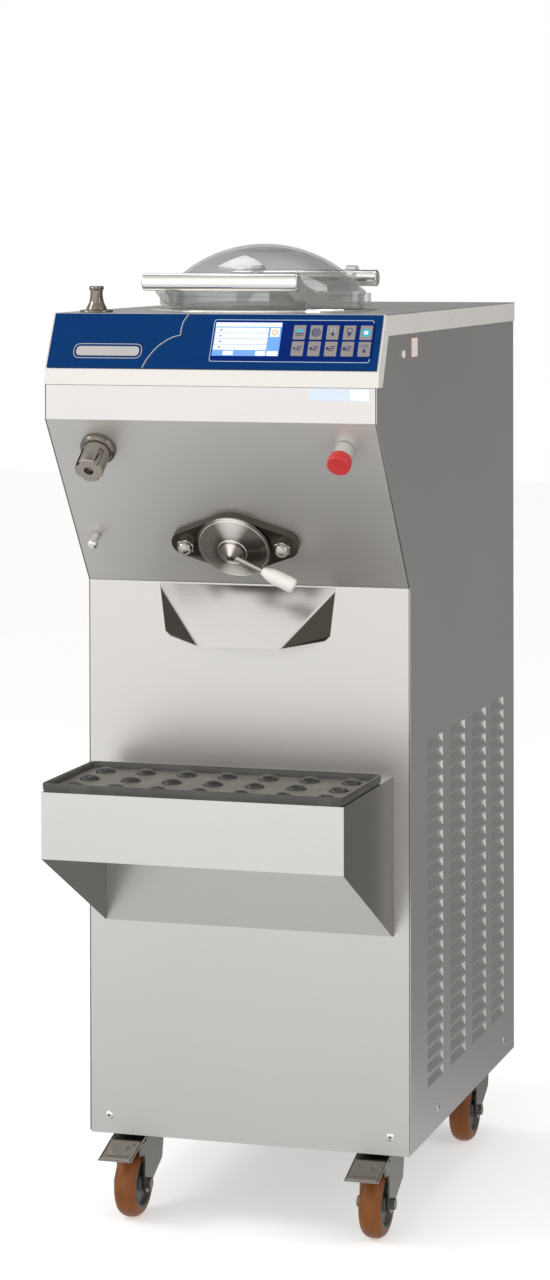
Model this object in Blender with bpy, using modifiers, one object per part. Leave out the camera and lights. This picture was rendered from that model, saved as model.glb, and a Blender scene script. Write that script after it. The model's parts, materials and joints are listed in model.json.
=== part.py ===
"""Floor-standing ice cream maker with a vertical freezing cylinder.

Metres, +Z up, the operator stands at -Y. The origin is on the floor, under the
middle of the machine's length and width.
"""
import math

import bmesh
import bpy
from mathutils import Matrix, Vector

# ---- driving dimensions ---------------------------------------------------
# casing
BODY_WIDTH = 0.490
BODY_DEPTH = 0.667
BODY_HEIGHT = 1.212            # lower edge of the casing to the top cover
HEAD_HEIGHT = 0.396            # knee of the front up to the top cover
CHIN_RISE = 0.246              # height of the slanted face
CHIN_REACH = 0.181             # how far the head stands out over the front
BROW_DROP = 0.1005             # top cover down to the lower edge of its front
BROW_SETBACK = 0.0447          # how far the top edge lies behind the chin
VISOR_HEIGHT = 0.0784          # height of the control fascia
VISOR_SETBACK = 0.0046         # lower edge of the fascia behind the chin
FASCIA_EDGE = 0.0015           # visor left bare round the fascia
SHEET = 0.0015                 # casing sheet
PLATE = 0.003                  # structural plate
SEAM = 0.0006                  # joint between two casing sheets
GAP = 0.0003                   # between pieces that touch
RUNNING = 0.0005               # radial play of turning pieces
RETURN_DEPTH = 0.020           # folded edges of the front sheets
FRONT_DROP = 0.0025            # the front hangs below the sides by this
SKIRT_HEIGHT = 0.030           # side lip of the top cover
SKIRT_FRONT = 0.025            # width of the lip beside the fascia

# frame
TRAY_WALL = 0.040
DECK_SET = 0.008               # deck behind the front sheet
POST_SIZE = 0.030
DECK_DROP = 0.357              # top cover down to the deck
DECK_DEPTH = 0.290
DECK_THICKNESS = 0.004

# freezing cylinder, on a vertical axis
CYLINDER_BACK = 0.090          # axis behind the front face
CYLINDER_BORE = 0.135
CYLINDER_WALL = 0.004
CYLINDER_FLOOR_DROP = 0.302    # top cover down to the floor of the bore
FOOT_RING = 0.090
RIM_WIDTH = 0.0265
RIM_THICKNESS = 0.0032
COVER_CLEARANCE = 0.003
DASHER_HEIGHT = 0.190
DASHER_ARM = 0.014
DASHER_LIFT = 0.004            # over the shaft seal
DASHER_HUB_WALL = 0.008
DASHER_HUB_CAP = 0.030         # solid end of the hub over the shaft
BLADE_THICKNESS = 0.008
BLADE_OVERLAP = 0.002          # blades longer than the uprights at each end
BLADE_CLEARANCE = 0.002
SHAFT_RADIUS = 0.013
SHAFT_CLEARANCE = 0.004        # round the shaft in the deck
SHAFT_FOOT = 0.030             # shaft below the deck
OUTPUT_DEPTH = 0.041           # gearbox bore
SEAL_RADIUS = 0.024
SEAL_RISE = 0.008
SEAL_DROP = 0.006              # below the floor of the bore
MOTOR_RADIUS = 0.075
MOTOR_LENGTH = 0.230
GEARBOX_SIZE = 0.130
GEARBOX_HEIGHT = 0.085

# lid
LID_RADIUS = 0.1475
LID_RING_WIDTH = 0.013
LID_RING_HEIGHT = 0.026
LID_WALL = 0.004
DOME_RADIUS = 0.192
DOME_APEX = 0.098              # above the top cover
LUG_SIZE = 0.014
LUG_RISE = 0.003               # over the lid's seat
LUG_OUT = 0.004                # its middle outside the ring
BAR_RADIUS = 0.0125
BAR_LENGTH = 0.232
BAR_RISE = 0.0445              # axis above the top cover
BAR_REACH = 0.212              # axis from the middle of the lid
HANDLE_ARM_SPACING = 0.200
HINGE_ARM_SPACING = 0.150
ARM_WIDTH = 0.016
ARM_THICKNESS = 0.007          # round the hinge bar
ARM_END = 0.012                # handle arm behind the bar
SADDLE_LENGTH = 0.110
SADDLE_DEPTH = 0.020

# fittings on the slanted face, measured across and down from its top edge
KNOB_ACROSS = -0.1745
KNOB_DOWN = 0.0515
KNOB_RADIUS = 0.0205
KNOB_LENGTH = 0.052
KNOB_FLUTE_DEPTH = 0.0035
KNOB_FLUTE_WIDTH = 0.008
KNOB_FLUTES = 4
KNOB_SOCKET_RADIUS = 0.007
KNOB_SOCKET_DEPTH = 0.008
STEM_DEPTH = 0.030             # knob's stem behind the face
COLLAR_RADIUS = 0.026
COLLAR_HEIGHT = 0.010
SPINDLE_RADIUS = 0.008
STOP_ACROSS = 0.1905
STOP_DOWN = 0.0465
STOP_BODY_RADIUS = 0.0147
STOP_BODY_LENGTH = 0.023
STOP_CAP_RADIUS = 0.0172
STOP_CAP_LENGTH = 0.018
STOP_SKIRT = 0.002              # the cap reaches this far down over the body before it is pressed
STOP_STEM_RADIUS = 0.006
STOP_TRAVEL = 0.004
STOP_DEPTH = 0.012              # stem behind the face
STUD_ACROSS = -0.2145
STUD_DOWN = 0.2185
STUD_RADIUS = 0.0065
STUD_HEAD_RADIUS = 0.008
STUD_LENGTH = 0.026
OUTLET_DOWN = 0.221
FLANGE_RADIUS = 0.052
FLANGE_EAR = 0.0225
NUT_SPACING = 0.146
FLANGE_THICKNESS = 0.012
PORT_RADIUS = 0.030
PORT_WALL = 0.004
PORT_DEPTH = 0.110             # outlet tube behind the slanted face
PORT_BORE_DEPTH = 0.075
DISC_RADIUS = 0.0545
DISC_EDGE = 0.008
DISC_CONE = 0.007
HUB_RADIUS = 0.018
HUB_LENGTH = 0.013
HUB_TIP = 0.005
PLUG_LENGTH = 0.030
NUT_RADIUS = 0.0135
NUT_HEIGHT = 0.018
LEVER_ANGLE = 25.0             # degrees below level, to the right
LEVER_LIFT = 9.0               # degrees away from the face
LEVER_RADIUS = 0.0035
LEVER_LENGTH = 0.064
GRIP_OVERLAP = 0.012           # lever inside its grip
GRIP_RADIUS = 0.011
GRIP_END_RADIUS = 0.0085
GRIP_LENGTH = 0.050

# deflector below the slanted face
CHUTE_TOP_WIDTH = 0.268
CHUTE_MID_WIDTH = 0.251
CHUTE_BACK_WIDTH = 0.236
CHUTE_TIP_WIDTH = 0.118
CHUTE_HEIGHT = 0.086
CHUTE_MID_DROP = 0.070
CHUTE_BACK_DROP = 0.077
CHUTE_REACH = 0.044
CHUTE_GAP = 0.003              # below the knee of the front

# shelf
SHELF_WIDTH = 0.440
SHELF_REACH = 0.264
SHELF_DROP = 0.272             # shelf below the knee of the casing
SHELF_APRON = 0.094
SHELF_CHEEK = 0.230
MAT_LIP = 0.003
MAT_BASE = 0.003
MAT_RIM = 0.0125
MAT_RIM_WIDTH = 0.005
MAT_BACK_GAP = 0.058
BUMP_RADIUS = 0.0145
BUMP_HEIGHT = 0.007
BUMP_COLUMNS = 7
BUMP_ROWS = 3

# controls
FASCIA_THICKNESS = 0.002
SCREEN_LEFT = 0.001
SCREEN_WIDTH = 0.098
SCREEN_HEIGHT = 0.052
SCREEN_DROP = 0.0145
KEYPAD_LEFT = 0.112
KEYPAD_WIDTH = 0.122
KEYPAD_HEIGHT = 0.054
KEYPAD_DROP = 0.0150
DISPLAY_DEPTH = 0.018
KEYPAD_DEPTH = 0.003
PROUD = 0.0006                 # how far the panels stand out of the fascia

# post on the top cover
POST_ACROSS = -0.199
POST_FORWARD = 0.090
POST_HEIGHT = 0.038
POST_BASE_RADIUS = 0.0245

# refrigeration
COMPRESSOR_RADIUS = 0.085
COMPRESSOR_HEIGHT = 0.240
COMPRESSOR_ACROSS = -0.100
COMPRESSOR_BACK = 0.160
CONDENSER_WIDTH = 0.340
CONDENSER_HEIGHT = 0.340
CONDENSER_THICKNESS = 0.060
CONDENSER_REAR_GAP = 0.030
SHROUD_THICKNESS = 0.030
FAN_RADIUS = 0.130
FAN_BLADES = 6
FAN_HUB = 0.030
FAN_CLEARANCE = 0.006
FAN_WIDTH = 0.024
FAN_CHORD = 0.044
FAN_BLADE = 0.002
FAN_PITCH = 22.0               # degrees
VENT_COLUMNS = 2
VENT_ROWS = 8
VENT_LENGTH = 0.150
VENT_HEIGHT = 0.010
VENT_PITCH = 0.034
VENT_FOOT = 0.080
VENT_SPACING = 0.030           # between two columns

# castors
WHEEL_RADIUS = 0.050
CASTOR_HEAD = 0.030            # castor above its wheel
CASTOR_HEIGHT = 2 * WHEEL_RADIUS + CASTOR_HEAD
WHEEL_WIDTH = 0.034
WHEEL_BOSS = 0.014
WHEEL_RIM = 0.033
WHEEL_DISH = 0.004
WHEEL_SIDES = 28
TREAD_ROUND = 0.006
AXLE_RADIUS = 0.006
CASTOR_ACROSS = 0.1865
CASTOR_INSET = 0.063           # swivel axis from the front and rear faces
CASTOR_TRAIL = 0.036
CASTOR_PLATE = 0.084
RACE_RADIUS = 0.026
RACE_HEIGHT = 0.008
FORK_SHEET = 0.003
FORK_PLAY = 0.0025
FORK_CROWN = 0.036             # crown behind the swivel axis
FORK_NOSE = 0.032              # cheeks ahead of the axle
FORK_EYE = 0.014
CROWN_FRONT = 0.008            # crown plate ahead of the axle
AXLE_NUT_RADIUS = 0.0085
AXLE_NUT_HEIGHT = 0.006
PEDAL_WIDTH = 0.050
PEDAL_SHEET = 0.0025
PEDAL_RADIUS = 0.004
PEDAL_REACH = 0.064            # lip ahead of the pin
PEDAL_FALL = 0.017
PEDAL_PIN_AHEAD = 0.022        # pin ahead of the axle
PEDAL_PIN_DROP = 0.007

# ---- values worked out from them ------------------------------------------
OVERHANG = SHELF_REACH + MAT_LIP
FRONT = (OVERHANG - BODY_DEPTH) / 2
REAR = FRONT + BODY_DEPTH
SHELL_REAR = REAR - SHEET - GAP  # side and rear sheets, inside the top cover's rear lip
CHIN = FRONT - CHIN_REACH
BASE = CASTOR_HEIGHT
TOP = BASE + BODY_HEIGHT
KNEE = TOP - HEAD_HEIGHT
SHELF_TOP = KNEE - SHELF_DROP
CHIN_LOW = KNEE + CHIN_RISE
BROW_LOW = TOP - BROW_DROP
VISOR_LOW = TOP - VISOR_HEIGHT
BROW = CHIN + BROW_SETBACK
VISOR_FOOT = CHIN + VISOR_SETBACK
HALF = BODY_WIDTH / 2
INNER = HALF - SHEET - SEAM    # outer faces of the front sheets' folded edges
LINING = INNER - SHEET - GAP
AXIS_Y = FRONT + CYLINDER_BACK
BORE_FLOOR = TOP - CYLINDER_FLOOR_DROP
DECK_TOP = TOP - DECK_DROP
CYLINDER_OUTER = CYLINDER_BORE + CYLINDER_WALL
RIM_HOLE = CYLINDER_OUTER + COVER_CLEARANCE
LID_SEAT = TOP + RIM_THICKNESS + 2 * GAP
HINGE_Y = AXIS_Y + BAR_REACH
BAR_Z = TOP + BAR_RISE

SLANT_LENGTH = math.hypot(CHIN_REACH, CHIN_RISE)
SLANT_OUT = Vector((0.0, -CHIN_RISE, -CHIN_REACH)) / SLANT_LENGTH
SLANT_UP = Vector((0.0, -CHIN_REACH, CHIN_RISE)) / SLANT_LENGTH
CHIN_CORNER = Vector((0.0, CHIN, CHIN_LOW))
VISOR_LENGTH = math.hypot(BROW - VISOR_FOOT, VISOR_HEIGHT)
VISOR_UP = Vector((0.0, BROW - VISOR_FOOT, VISOR_HEIGHT)) / VISOR_LENGTH
VISOR_OUT = Vector((1.0, 0.0, 0.0)).cross(VISOR_UP)
BROW_CORNER = Vector((0.0, BROW, TOP))

STEEL = ((0.72, 0.71, 0.70), 0.32, 1.0)
BRIGHT = ((0.82, 0.82, 0.81), 0.15, 1.0)
DARK_STEEL = ((0.40, 0.39, 0.38), 0.45, 1.0)
BLUE = ((0.004, 0.04, 0.16), 0.30, 0.0)
SCREEN = ((0.25, 0.42, 0.85), 0.15, 0.0)
KEY_GREY = ((0.30, 0.31, 0.33), 0.45, 0.0)
RED = ((0.62, 0.03, 0.03), 0.40, 0.0)
CLEAR = ((0.85, 0.87, 0.88), 0.08, 0.0)
WHITE = ((0.80, 0.79, 0.76), 0.40, 0.0)
BLACK = ((0.03, 0.03, 0.03), 0.55, 0.0)
RUBBER = ((0.05, 0.045, 0.04), 0.70, 0.0)
AMBER = ((0.38, 0.14, 0.03), 0.45, 0.0)
COPPER = ((0.55, 0.27, 0.15), 0.40, 1.0)


# ---- helpers --------------------------------------------------------------
def clear_scene():
    for item in list(bpy.data.objects):
        bpy.data.objects.remove(item, do_unlink=True)


def collection(name):
    group = bpy.data.collections.new(name)
    bpy.context.scene.collection.children.link(group)
    return group


def material(name, look):
    color, roughness, metallic = look
    result = bpy.data.materials.new(name)
    result.use_nodes = True
    shader = result.node_tree.nodes["Principled BSDF"]
    shader.inputs["Base Color"].default_value = (*color, 1.0)
    shader.inputs["Roughness"].default_value = roughness
    shader.inputs["Metallic"].default_value = metallic
    result.diffuse_color = (*color, 1.0)
    return result


def add(name, mesh, look=None, matrix=None):
    """Links a mesh as a part, or as a cutter when it has no look."""
    item = bpy.data.objects.new(name, mesh)
    if look is None:
        CUTTERS.objects.link(item)
        item.hide_render = True
        item.display_type = "WIRE"
    else:
        PARTS.objects.link(item)
        mesh.materials.clear()
        mesh.materials.append(material(name, look))
    if matrix is not None:
        item.matrix_world = matrix
    return item


def smooth(item, angle=35.0):
    item.data.shade_smooth()
    item.data.set_sharp_from_angle(angle=math.radians(angle))
    return item


def frame_at(point, out, up):
    """Placing matrix: local Z along out, local Y along up."""
    across = up.cross(out)
    turn = Matrix((across, up, out)).transposed()
    return Matrix.Translation(point) @ turn.to_4x4()


def on_slant(across, down, out=0.0):
    point = CHIN_CORNER + Vector((across, 0.0, 0.0)) - SLANT_UP * down + SLANT_OUT * out
    return frame_at(point, SLANT_OUT, SLANT_UP)


def on_visor(across, down, out=0.0):
    point = BROW_CORNER + Vector((across, 0.0, 0.0)) - VISOR_UP * down + VISOR_OUT * out
    return frame_at(point, VISOR_OUT, VISOR_UP)


def upright(x, y, z):
    return Matrix.Translation((x, y, z))


def along_x(x, y, z):
    return Matrix.Translation((x, y, z)) @ Matrix.Rotation(math.pi / 2, 4, "Y")


def box(name, low, high, look=None, matrix=None):
    size = [b - a for a, b in zip(low, high)]
    middle = [(a + b) / 2 for a, b in zip(low, high)]
    place = Matrix.Translation(middle) @ Matrix.Diagonal((*size, 1.0))
    shape = bmesh.new()
    bmesh.ops.create_cube(shape, size=1.0, matrix=place)
    mesh = bpy.data.meshes.new(name)
    shape.to_mesh(mesh)
    shape.free()
    return add(name, mesh, look, matrix)


def cylinder(name, radius, low, high, look=None, matrix=None, sides=32, top_radius=None):
    top = radius if top_radius is None else top_radius
    shape = bmesh.new()
    bmesh.ops.create_cone(shape, cap_ends=True, segments=sides, radius1=radius, radius2=top,
                          depth=high - low, matrix=Matrix.Translation((0, 0, (low + high) / 2)))
    mesh = bpy.data.meshes.new(name)
    shape.to_mesh(mesh)
    shape.free()
    item = add(name, mesh, look, matrix)
    return smooth(item)


def turned(name, profile, look=None, matrix=None, sides=32):
    """A profile of (radius, height) points, listed down its outer side."""
    shape = bmesh.new()
    corners = [shape.verts.new((radius, 0.0, height)) for radius, height in profile]
    closed = profile[0][0] > 0.0 or profile[-1][0] > 0.0
    for first, second in zip(corners, corners[1:]):
        shape.edges.new((first, second))
    if closed:
        shape.edges.new((corners[-1], corners[0]))
    mesh = bpy.data.meshes.new(name)
    shape.to_mesh(mesh)
    shape.free()
    item = add(name, mesh, look, matrix)
    screw = item.modifiers.new("turn", "SCREW")
    screw.steps = sides
    screw.render_steps = sides
    screw.use_merge_vertices = True
    screw.merge_threshold = 0.00001
    bake(item)
    return smooth(item)


def face_outwards(mesh):
    """Welds a closed mesh and points its faces outwards."""
    shape = bmesh.new()
    shape.from_mesh(mesh)
    bmesh.ops.remove_doubles(shape, verts=shape.verts, dist=0.00001)
    bmesh.ops.recalc_face_normals(shape, faces=shape.faces)
    shape.to_mesh(mesh)
    shape.free()


def bake(item):
    """Replaces an object's mesh by what its modifiers make of it."""
    depsgraph = bpy.context.evaluated_depsgraph_get()
    mesh = bpy.data.meshes.new_from_object(item.evaluated_get(depsgraph))
    item.modifiers.clear()
    face_outwards(mesh)
    old = item.data
    item.data = mesh
    bpy.data.meshes.remove(old)
    return item


def curve_to_mesh(name, curve, look, matrix):
    """Turns a curve into a welded mesh part and removes the curve."""
    guide = bpy.data.objects.new(name + "_curve", curve)
    PARTS.objects.link(guide)
    bpy.context.view_layer.update()
    depsgraph = bpy.context.evaluated_depsgraph_get()
    mesh = bpy.data.meshes.new_from_object(guide.evaluated_get(depsgraph))
    bpy.data.objects.remove(guide, do_unlink=True)
    face_outwards(mesh)
    mesh.name = name
    return add(name, mesh, look, matrix)


def outline(name, loops, low, high, look=None, matrix=None):
    """A flat outline in local XY, with holes, as thick as low to high."""
    curve = bpy.data.curves.new(name, "CURVE")
    curve.dimensions = "2D"
    curve.fill_mode = "BOTH"
    curve.extrude = (high - low) / 2
    for loop in loops:
        spline = curve.splines.new("POLY")
        spline.points.add(len(loop) - 1)
        for point, (u, v) in zip(spline.points, loop):
            point.co = (u, v, 0.0, 1.0)
        spline.use_cyclic_u = True
    place = matrix or Matrix.Identity(4)
    return curve_to_mesh(name, curve, look, place @ Matrix.Translation((0, 0, (low + high) / 2)))


def side_view(x=0.0):
    """Local X is world Y, local Y is world Z, local Z is world X."""
    return Matrix(((0, 0, 1, x), (1, 0, 0, 0), (0, 1, 0, 0), (0, 0, 0, 1)))


def front_view(y=0.0):
    """Local X is world X, local Y is world Z, local Z is world -Y."""
    return Matrix(((1, 0, 0, 0), (0, 0, -1, y), (0, 1, 0, 0), (0, 0, 0, 1)))


def sheet(name, corners, faces, thickness, look=None, matrix=None, offset=-1.0):
    """Folded sheet metal: an open surface made solid on one side."""
    mesh = bpy.data.meshes.new(name)
    mesh.from_pydata([tuple(corner) for corner in corners], [], faces)
    item = add(name, mesh, look, matrix)
    solid = item.modifiers.new("sheet", "SOLIDIFY")
    solid.thickness = thickness
    solid.offset = offset
    solid.use_even_offset = True
    solid.use_quality_normals = True
    return bake(item)


def folded(name, profile, low, high, thickness, look=None, matrix=None, offset=-1.0):
    """A bent strip: a profile in world YZ drawn along X and made solid."""
    corners = [(low, y, z) for y, z in profile] + [(high, y, z) for y, z in profile]
    count = len(profile)
    faces = [(i, i + 1, count + i + 1, count + i) for i in range(count - 1)]
    return sheet(name, corners, faces, thickness, look, matrix, offset)


def put_origin(item, x, y, z):
    """Moves an object's origin to a world point and leaves its shape where it is."""
    shift = item.matrix_world.inverted() @ Vector((x, y, z))
    item.data.transform(Matrix.Translation(-shift))
    item.matrix_world = item.matrix_world @ Matrix.Translation(shift)
    return item


def boolean(item, tool, operation):
    """Applies a Boolean with a tool object, which is then removed."""
    change = item.modifiers.new("cut", "BOOLEAN")
    change.operation = operation
    change.solver = "EXACT"
    change.object = tool
    bpy.context.view_layer.update()
    bake(item)
    old = tool.data
    bpy.data.objects.remove(tool, do_unlink=True)
    bpy.data.meshes.remove(old)
    return item


def cut(item, tool):
    return boolean(item, tool, "DIFFERENCE")


def join(item, tool):
    return boolean(item, tool, "UNION")


def circle(radius, sides=32, u=0.0, v=0.0, start=0.0):
    angles = [start + 2 * math.pi * step / sides for step in range(sides)]
    return [(u + radius * math.cos(a), v + radius * math.sin(a)) for a in angles]


def rectangle(left, low, right, high):
    return [(left, low), (right, low), (right, high), (left, high)]


# ---- casing ---------------------------------------------------------------
def side_outline():
    """The sides stand inside the top cover and form the front edges below it."""
    lift = TOP - SHEET - GAP
    inset = (SHEET + 2 * GAP) * VISOR_LENGTH / VISOR_HEIGHT
    lean = (TOP - lift) * (BROW - VISOR_FOOT) / VISOR_HEIGHT
    return [(FRONT, BASE), (SHELL_REAR, BASE), (SHELL_REAR, lift), (BROW - lean + inset, lift),
            (VISOR_FOOT + inset, VISOR_LOW), (CHIN + inset, BROW_LOW - SEAM), (CHIN, BROW_LOW - SEAM),
            (CHIN, CHIN_LOW), (FRONT, KNEE)]


def make_side_panels():
    outline("left_panel", [side_outline()], 0.0, SHEET, STEEL, side_view(-HALF))
    outline("right_panel", [side_outline()], -SHEET, 0.0, STEEL, side_view(HALF))


def make_front_panel():
    low = BASE - FRONT_DROP
    high = KNEE - SEAM
    back = FRONT + RETURN_DEPTH
    plan = [(-INNER, back), (-INNER, FRONT), (INNER, FRONT), (INNER, back)]
    corners = [(x, y, low) for x, y in plan] + [(x, y, high) for x, y in plan]
    faces = [(0, 1, 5, 4), (1, 2, 6, 5), (2, 3, 7, 6)]
    sheet("front_panel", corners, faces, SHEET, STEEL)


def make_head_panel():
    """Slanted face and chin in one folded sheet, with its openings."""
    profile = [(FRONT, KNEE), (CHIN, CHIN_LOW), (CHIN, BROW_LOW - SEAM)]
    head = folded("head_panel", profile, -INNER, INNER, SHEET, STEEL, offset=1.0)
    depth = 4 * SHEET
    openings = (
        (KNOB_ACROSS, KNOB_DOWN, SPINDLE_RADIUS + SEAM),
        (STOP_ACROSS, STOP_DOWN, STOP_STEM_RADIUS + SEAM),
        (0.0, OUTLET_DOWN, PORT_RADIUS + PORT_WALL + SEAM),
    )
    for number, (across, down, radius) in enumerate(openings):
        tool = cylinder(f"opening_{number}", radius, -depth, depth, matrix=on_slant(across, down))
        cut(head, tool)
    return head


def make_rear_panel():
    """Rear sheet between the sides, with two columns of vents."""
    low = BASE
    high = TOP - SHEET - GAP
    loops = [rectangle(-INNER, low, INNER, high)]
    for column in range(VENT_COLUMNS):
        middle = (column - (VENT_COLUMNS - 1) / 2) * (VENT_LENGTH + VENT_SPACING)
        for row in range(VENT_ROWS):
            foot = BASE + VENT_FOOT + row * VENT_PITCH
            half = VENT_LENGTH / 2
            loops.append(rectangle(middle - half, foot, middle + half, foot + VENT_HEIGHT))
    outline("rear_panel", loops, 0.0, SHEET, STEEL, front_view(SHELL_REAR))


def make_top_cover():
    """Top, sloping visor, brow and side lips, folded from one sheet."""
    outer = HALF + GAP + SHEET
    skirt = TOP - SKIRT_HEIGHT
    slope = (BROW - VISOR_FOOT) / VISOR_HEIGHT
    skirt_front = BROW - SKIRT_HEIGHT * slope
    corners = []
    for x in (-outer, outer):
        corners += [
            (x, REAR, skirt), (x, REAR, TOP), (x, BROW, TOP), (x, VISOR_FOOT, VISOR_LOW),
            (x, CHIN - GAP, BROW_LOW), (x, CHIN - GAP + SKIRT_FRONT, BROW_LOW),
            (x, skirt_front + SKIRT_FRONT + 0.003, skirt),
        ]
    side = len(corners) // 2
    faces = [(1, 2, 2 + side, 1 + side), (2, 3, 3 + side, 2 + side), (3, 4, 4 + side, 3 + side),
             (0, 1, 1 + side, side), (6, 2, 1, 0), (6, 5, 4, 3), (6, 3, 2)]
    mirrored = [(0 + side, 1 + side, 2 + side, 6 + side), (3 + side, 4 + side, 5 + side, 6 + side),
                (2 + side, 3 + side, 6 + side)]
    cover = sheet("top_cover", corners, faces + mirrored, SHEET, BRIGHT)
    cut(cover, cylinder("mouth", RIM_HOLE, TOP - 0.01, TOP + 0.01,
                        matrix=upright(0.0, AXIS_Y, 0.0), sides=48))
    for name, left, width, drop, height in panels_on_visor():
        tool = box(name + "_hole", (left - GAP, -drop - height - GAP, -0.01),
                   (left + width + GAP, -drop + GAP, 0.01), matrix=on_visor(0.0, 0.0))
        cut(cover, tool)
    return cover


# ---- controls -------------------------------------------------------------
def panels_on_visor():
    return (
        ("display", SCREEN_LEFT, SCREEN_WIDTH, SCREEN_DROP, SCREEN_HEIGHT),
        ("keypad", KEYPAD_LEFT, KEYPAD_WIDTH, KEYPAD_DROP, KEYPAD_HEIGHT),
    )


def make_control_fascia():
    """Blue plate over the visor, open behind the screen and the keypad."""
    edge = FASCIA_EDGE
    loops = [rectangle(-HALF + edge, -VISOR_LENGTH + edge, HALF - edge, -edge)]
    for _, left, width, drop, height in panels_on_visor():
        loops.append(rectangle(left - GAP, -drop - height - GAP, left + width + GAP, -drop + GAP))
    outline("control_fascia", loops, GAP, GAP + FASCIA_THICKNESS, BLUE, on_visor(0.0, 0.0))


def make_display_and_keypad():
    depths = {"display": DISPLAY_DEPTH, "keypad": KEYPAD_DEPTH + SHEET}
    looks = {"display": SCREEN, "keypad": KEY_GREY}
    front = GAP + FASCIA_THICKNESS + PROUD
    for name, left, width, drop, height in panels_on_visor():
        box(name, (left, -drop - height, -depths[name]), (left + width, -drop, front),
            looks[name], on_visor(0.0, 0.0))


def make_stop_button():
    """Red stop button on a plated body; the stem passes the slanted face."""
    place = on_slant(STOP_ACROSS, STOP_DOWN)
    bore = STOP_STEM_RADIUS + RUNNING
    body = STOP_BODY_RADIUS
    length = STOP_BODY_LENGTH
    turned("stop_body", [(bore, length), (body - 0.001, length), (body, length - 0.001),
                         (body, GAP), (bore, GAP)], BRIGHT, place)
    cap = STOP_CAP_RADIUS
    sleeve = body + RUNNING
    skirt = length - STOP_SKIRT
    under = length + STOP_TRAVEL + GAP
    head = skirt + STOP_CAP_LENGTH
    stem = STOP_STEM_RADIUS
    turned("stop_button", [(0.0, head), (cap - 0.002, head), (cap, head - 0.002), (cap, skirt),
                           (sleeve, skirt), (sleeve, under), (stem, under), (stem, -STOP_DEPTH),
                           (0.0, -STOP_DEPTH)], RED, place)


# ---- fittings on the slanted face -----------------------------------------
def make_valve_knob():
    """Fluted knob with a socket in its end, on a collar."""
    place = on_slant(KNOB_ACROSS, KNOB_DOWN)
    bore = SPINDLE_RADIUS + RUNNING
    wide = COLLAR_RADIUS
    high = COLLAR_HEIGHT
    turned("valve_collar", [(bore, high), (wide - 0.003, high), (wide, high - 0.004),
                            (wide, GAP), (bore, GAP)], DARK_STEEL, place)
    knob = turned("valve_knob", [(0.0, KNOB_LENGTH - KNOB_SOCKET_DEPTH),
                                 (KNOB_SOCKET_RADIUS * 0.7, KNOB_LENGTH - KNOB_SOCKET_DEPTH),
                                 (KNOB_SOCKET_RADIUS, KNOB_LENGTH), (KNOB_RADIUS - 0.001, KNOB_LENGTH),
                                 (KNOB_RADIUS, KNOB_LENGTH - 0.001), (KNOB_RADIUS, high + RUNNING),
                                 (SPINDLE_RADIUS, high + RUNNING), (SPINDLE_RADIUS, -STEM_DEPTH),
                                 (0.0, -STEM_DEPTH)], STEEL, place)
    for number in range(KNOB_FLUTES):
        angle = math.radians(45.0) + 2 * math.pi * number / KNOB_FLUTES
        turn = place @ Matrix.Rotation(angle, 4, "Z")
        tool = box(f"flute_{number}", (KNOB_RADIUS - KNOB_FLUTE_DEPTH, -KNOB_FLUTE_WIDTH / 2, high + 0.010),
                   (2 * KNOB_RADIUS, KNOB_FLUTE_WIDTH / 2, KNOB_LENGTH + 0.002), matrix=turn)
        cut(knob, tool)
    return knob


def make_hook_stud():
    neck = STUD_LENGTH - 2 * STUD_HEAD_RADIUS
    dome = [(STUD_HEAD_RADIUS * math.sin(a), neck + STUD_HEAD_RADIUS * (1 + math.cos(a)))
            for a in (math.radians(15.0 * step) for step in range(8))]
    profile = dome + [(STUD_RADIUS, neck), (STUD_RADIUS, GAP), (0.0, GAP)]
    turned("hook_stud", profile, BRIGHT, on_slant(STUD_ACROSS, STUD_DOWN), 24)


def flange_outline():
    """Straight flanks tangent to the middle circle and to both ears."""
    reach = NUT_SPACING / 2
    lean = math.acos((FLANGE_RADIUS - FLANGE_EAR) / reach)
    points = []
    for centre, radius, start, stop, steps in (
            (reach, FLANGE_EAR, -lean, lean, 8), (0.0, FLANGE_RADIUS, lean, math.pi - lean, 8),
            (-reach, FLANGE_EAR, math.pi - lean, math.pi + lean, 8),
            (0.0, FLANGE_RADIUS, math.pi + lean, 2 * math.pi - lean, 8)):
        for step in range(steps + 1):
            angle = start + (stop - start) * step / steps
            points.append((centre + radius * math.cos(angle), radius * math.sin(angle)))
    return points


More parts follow.
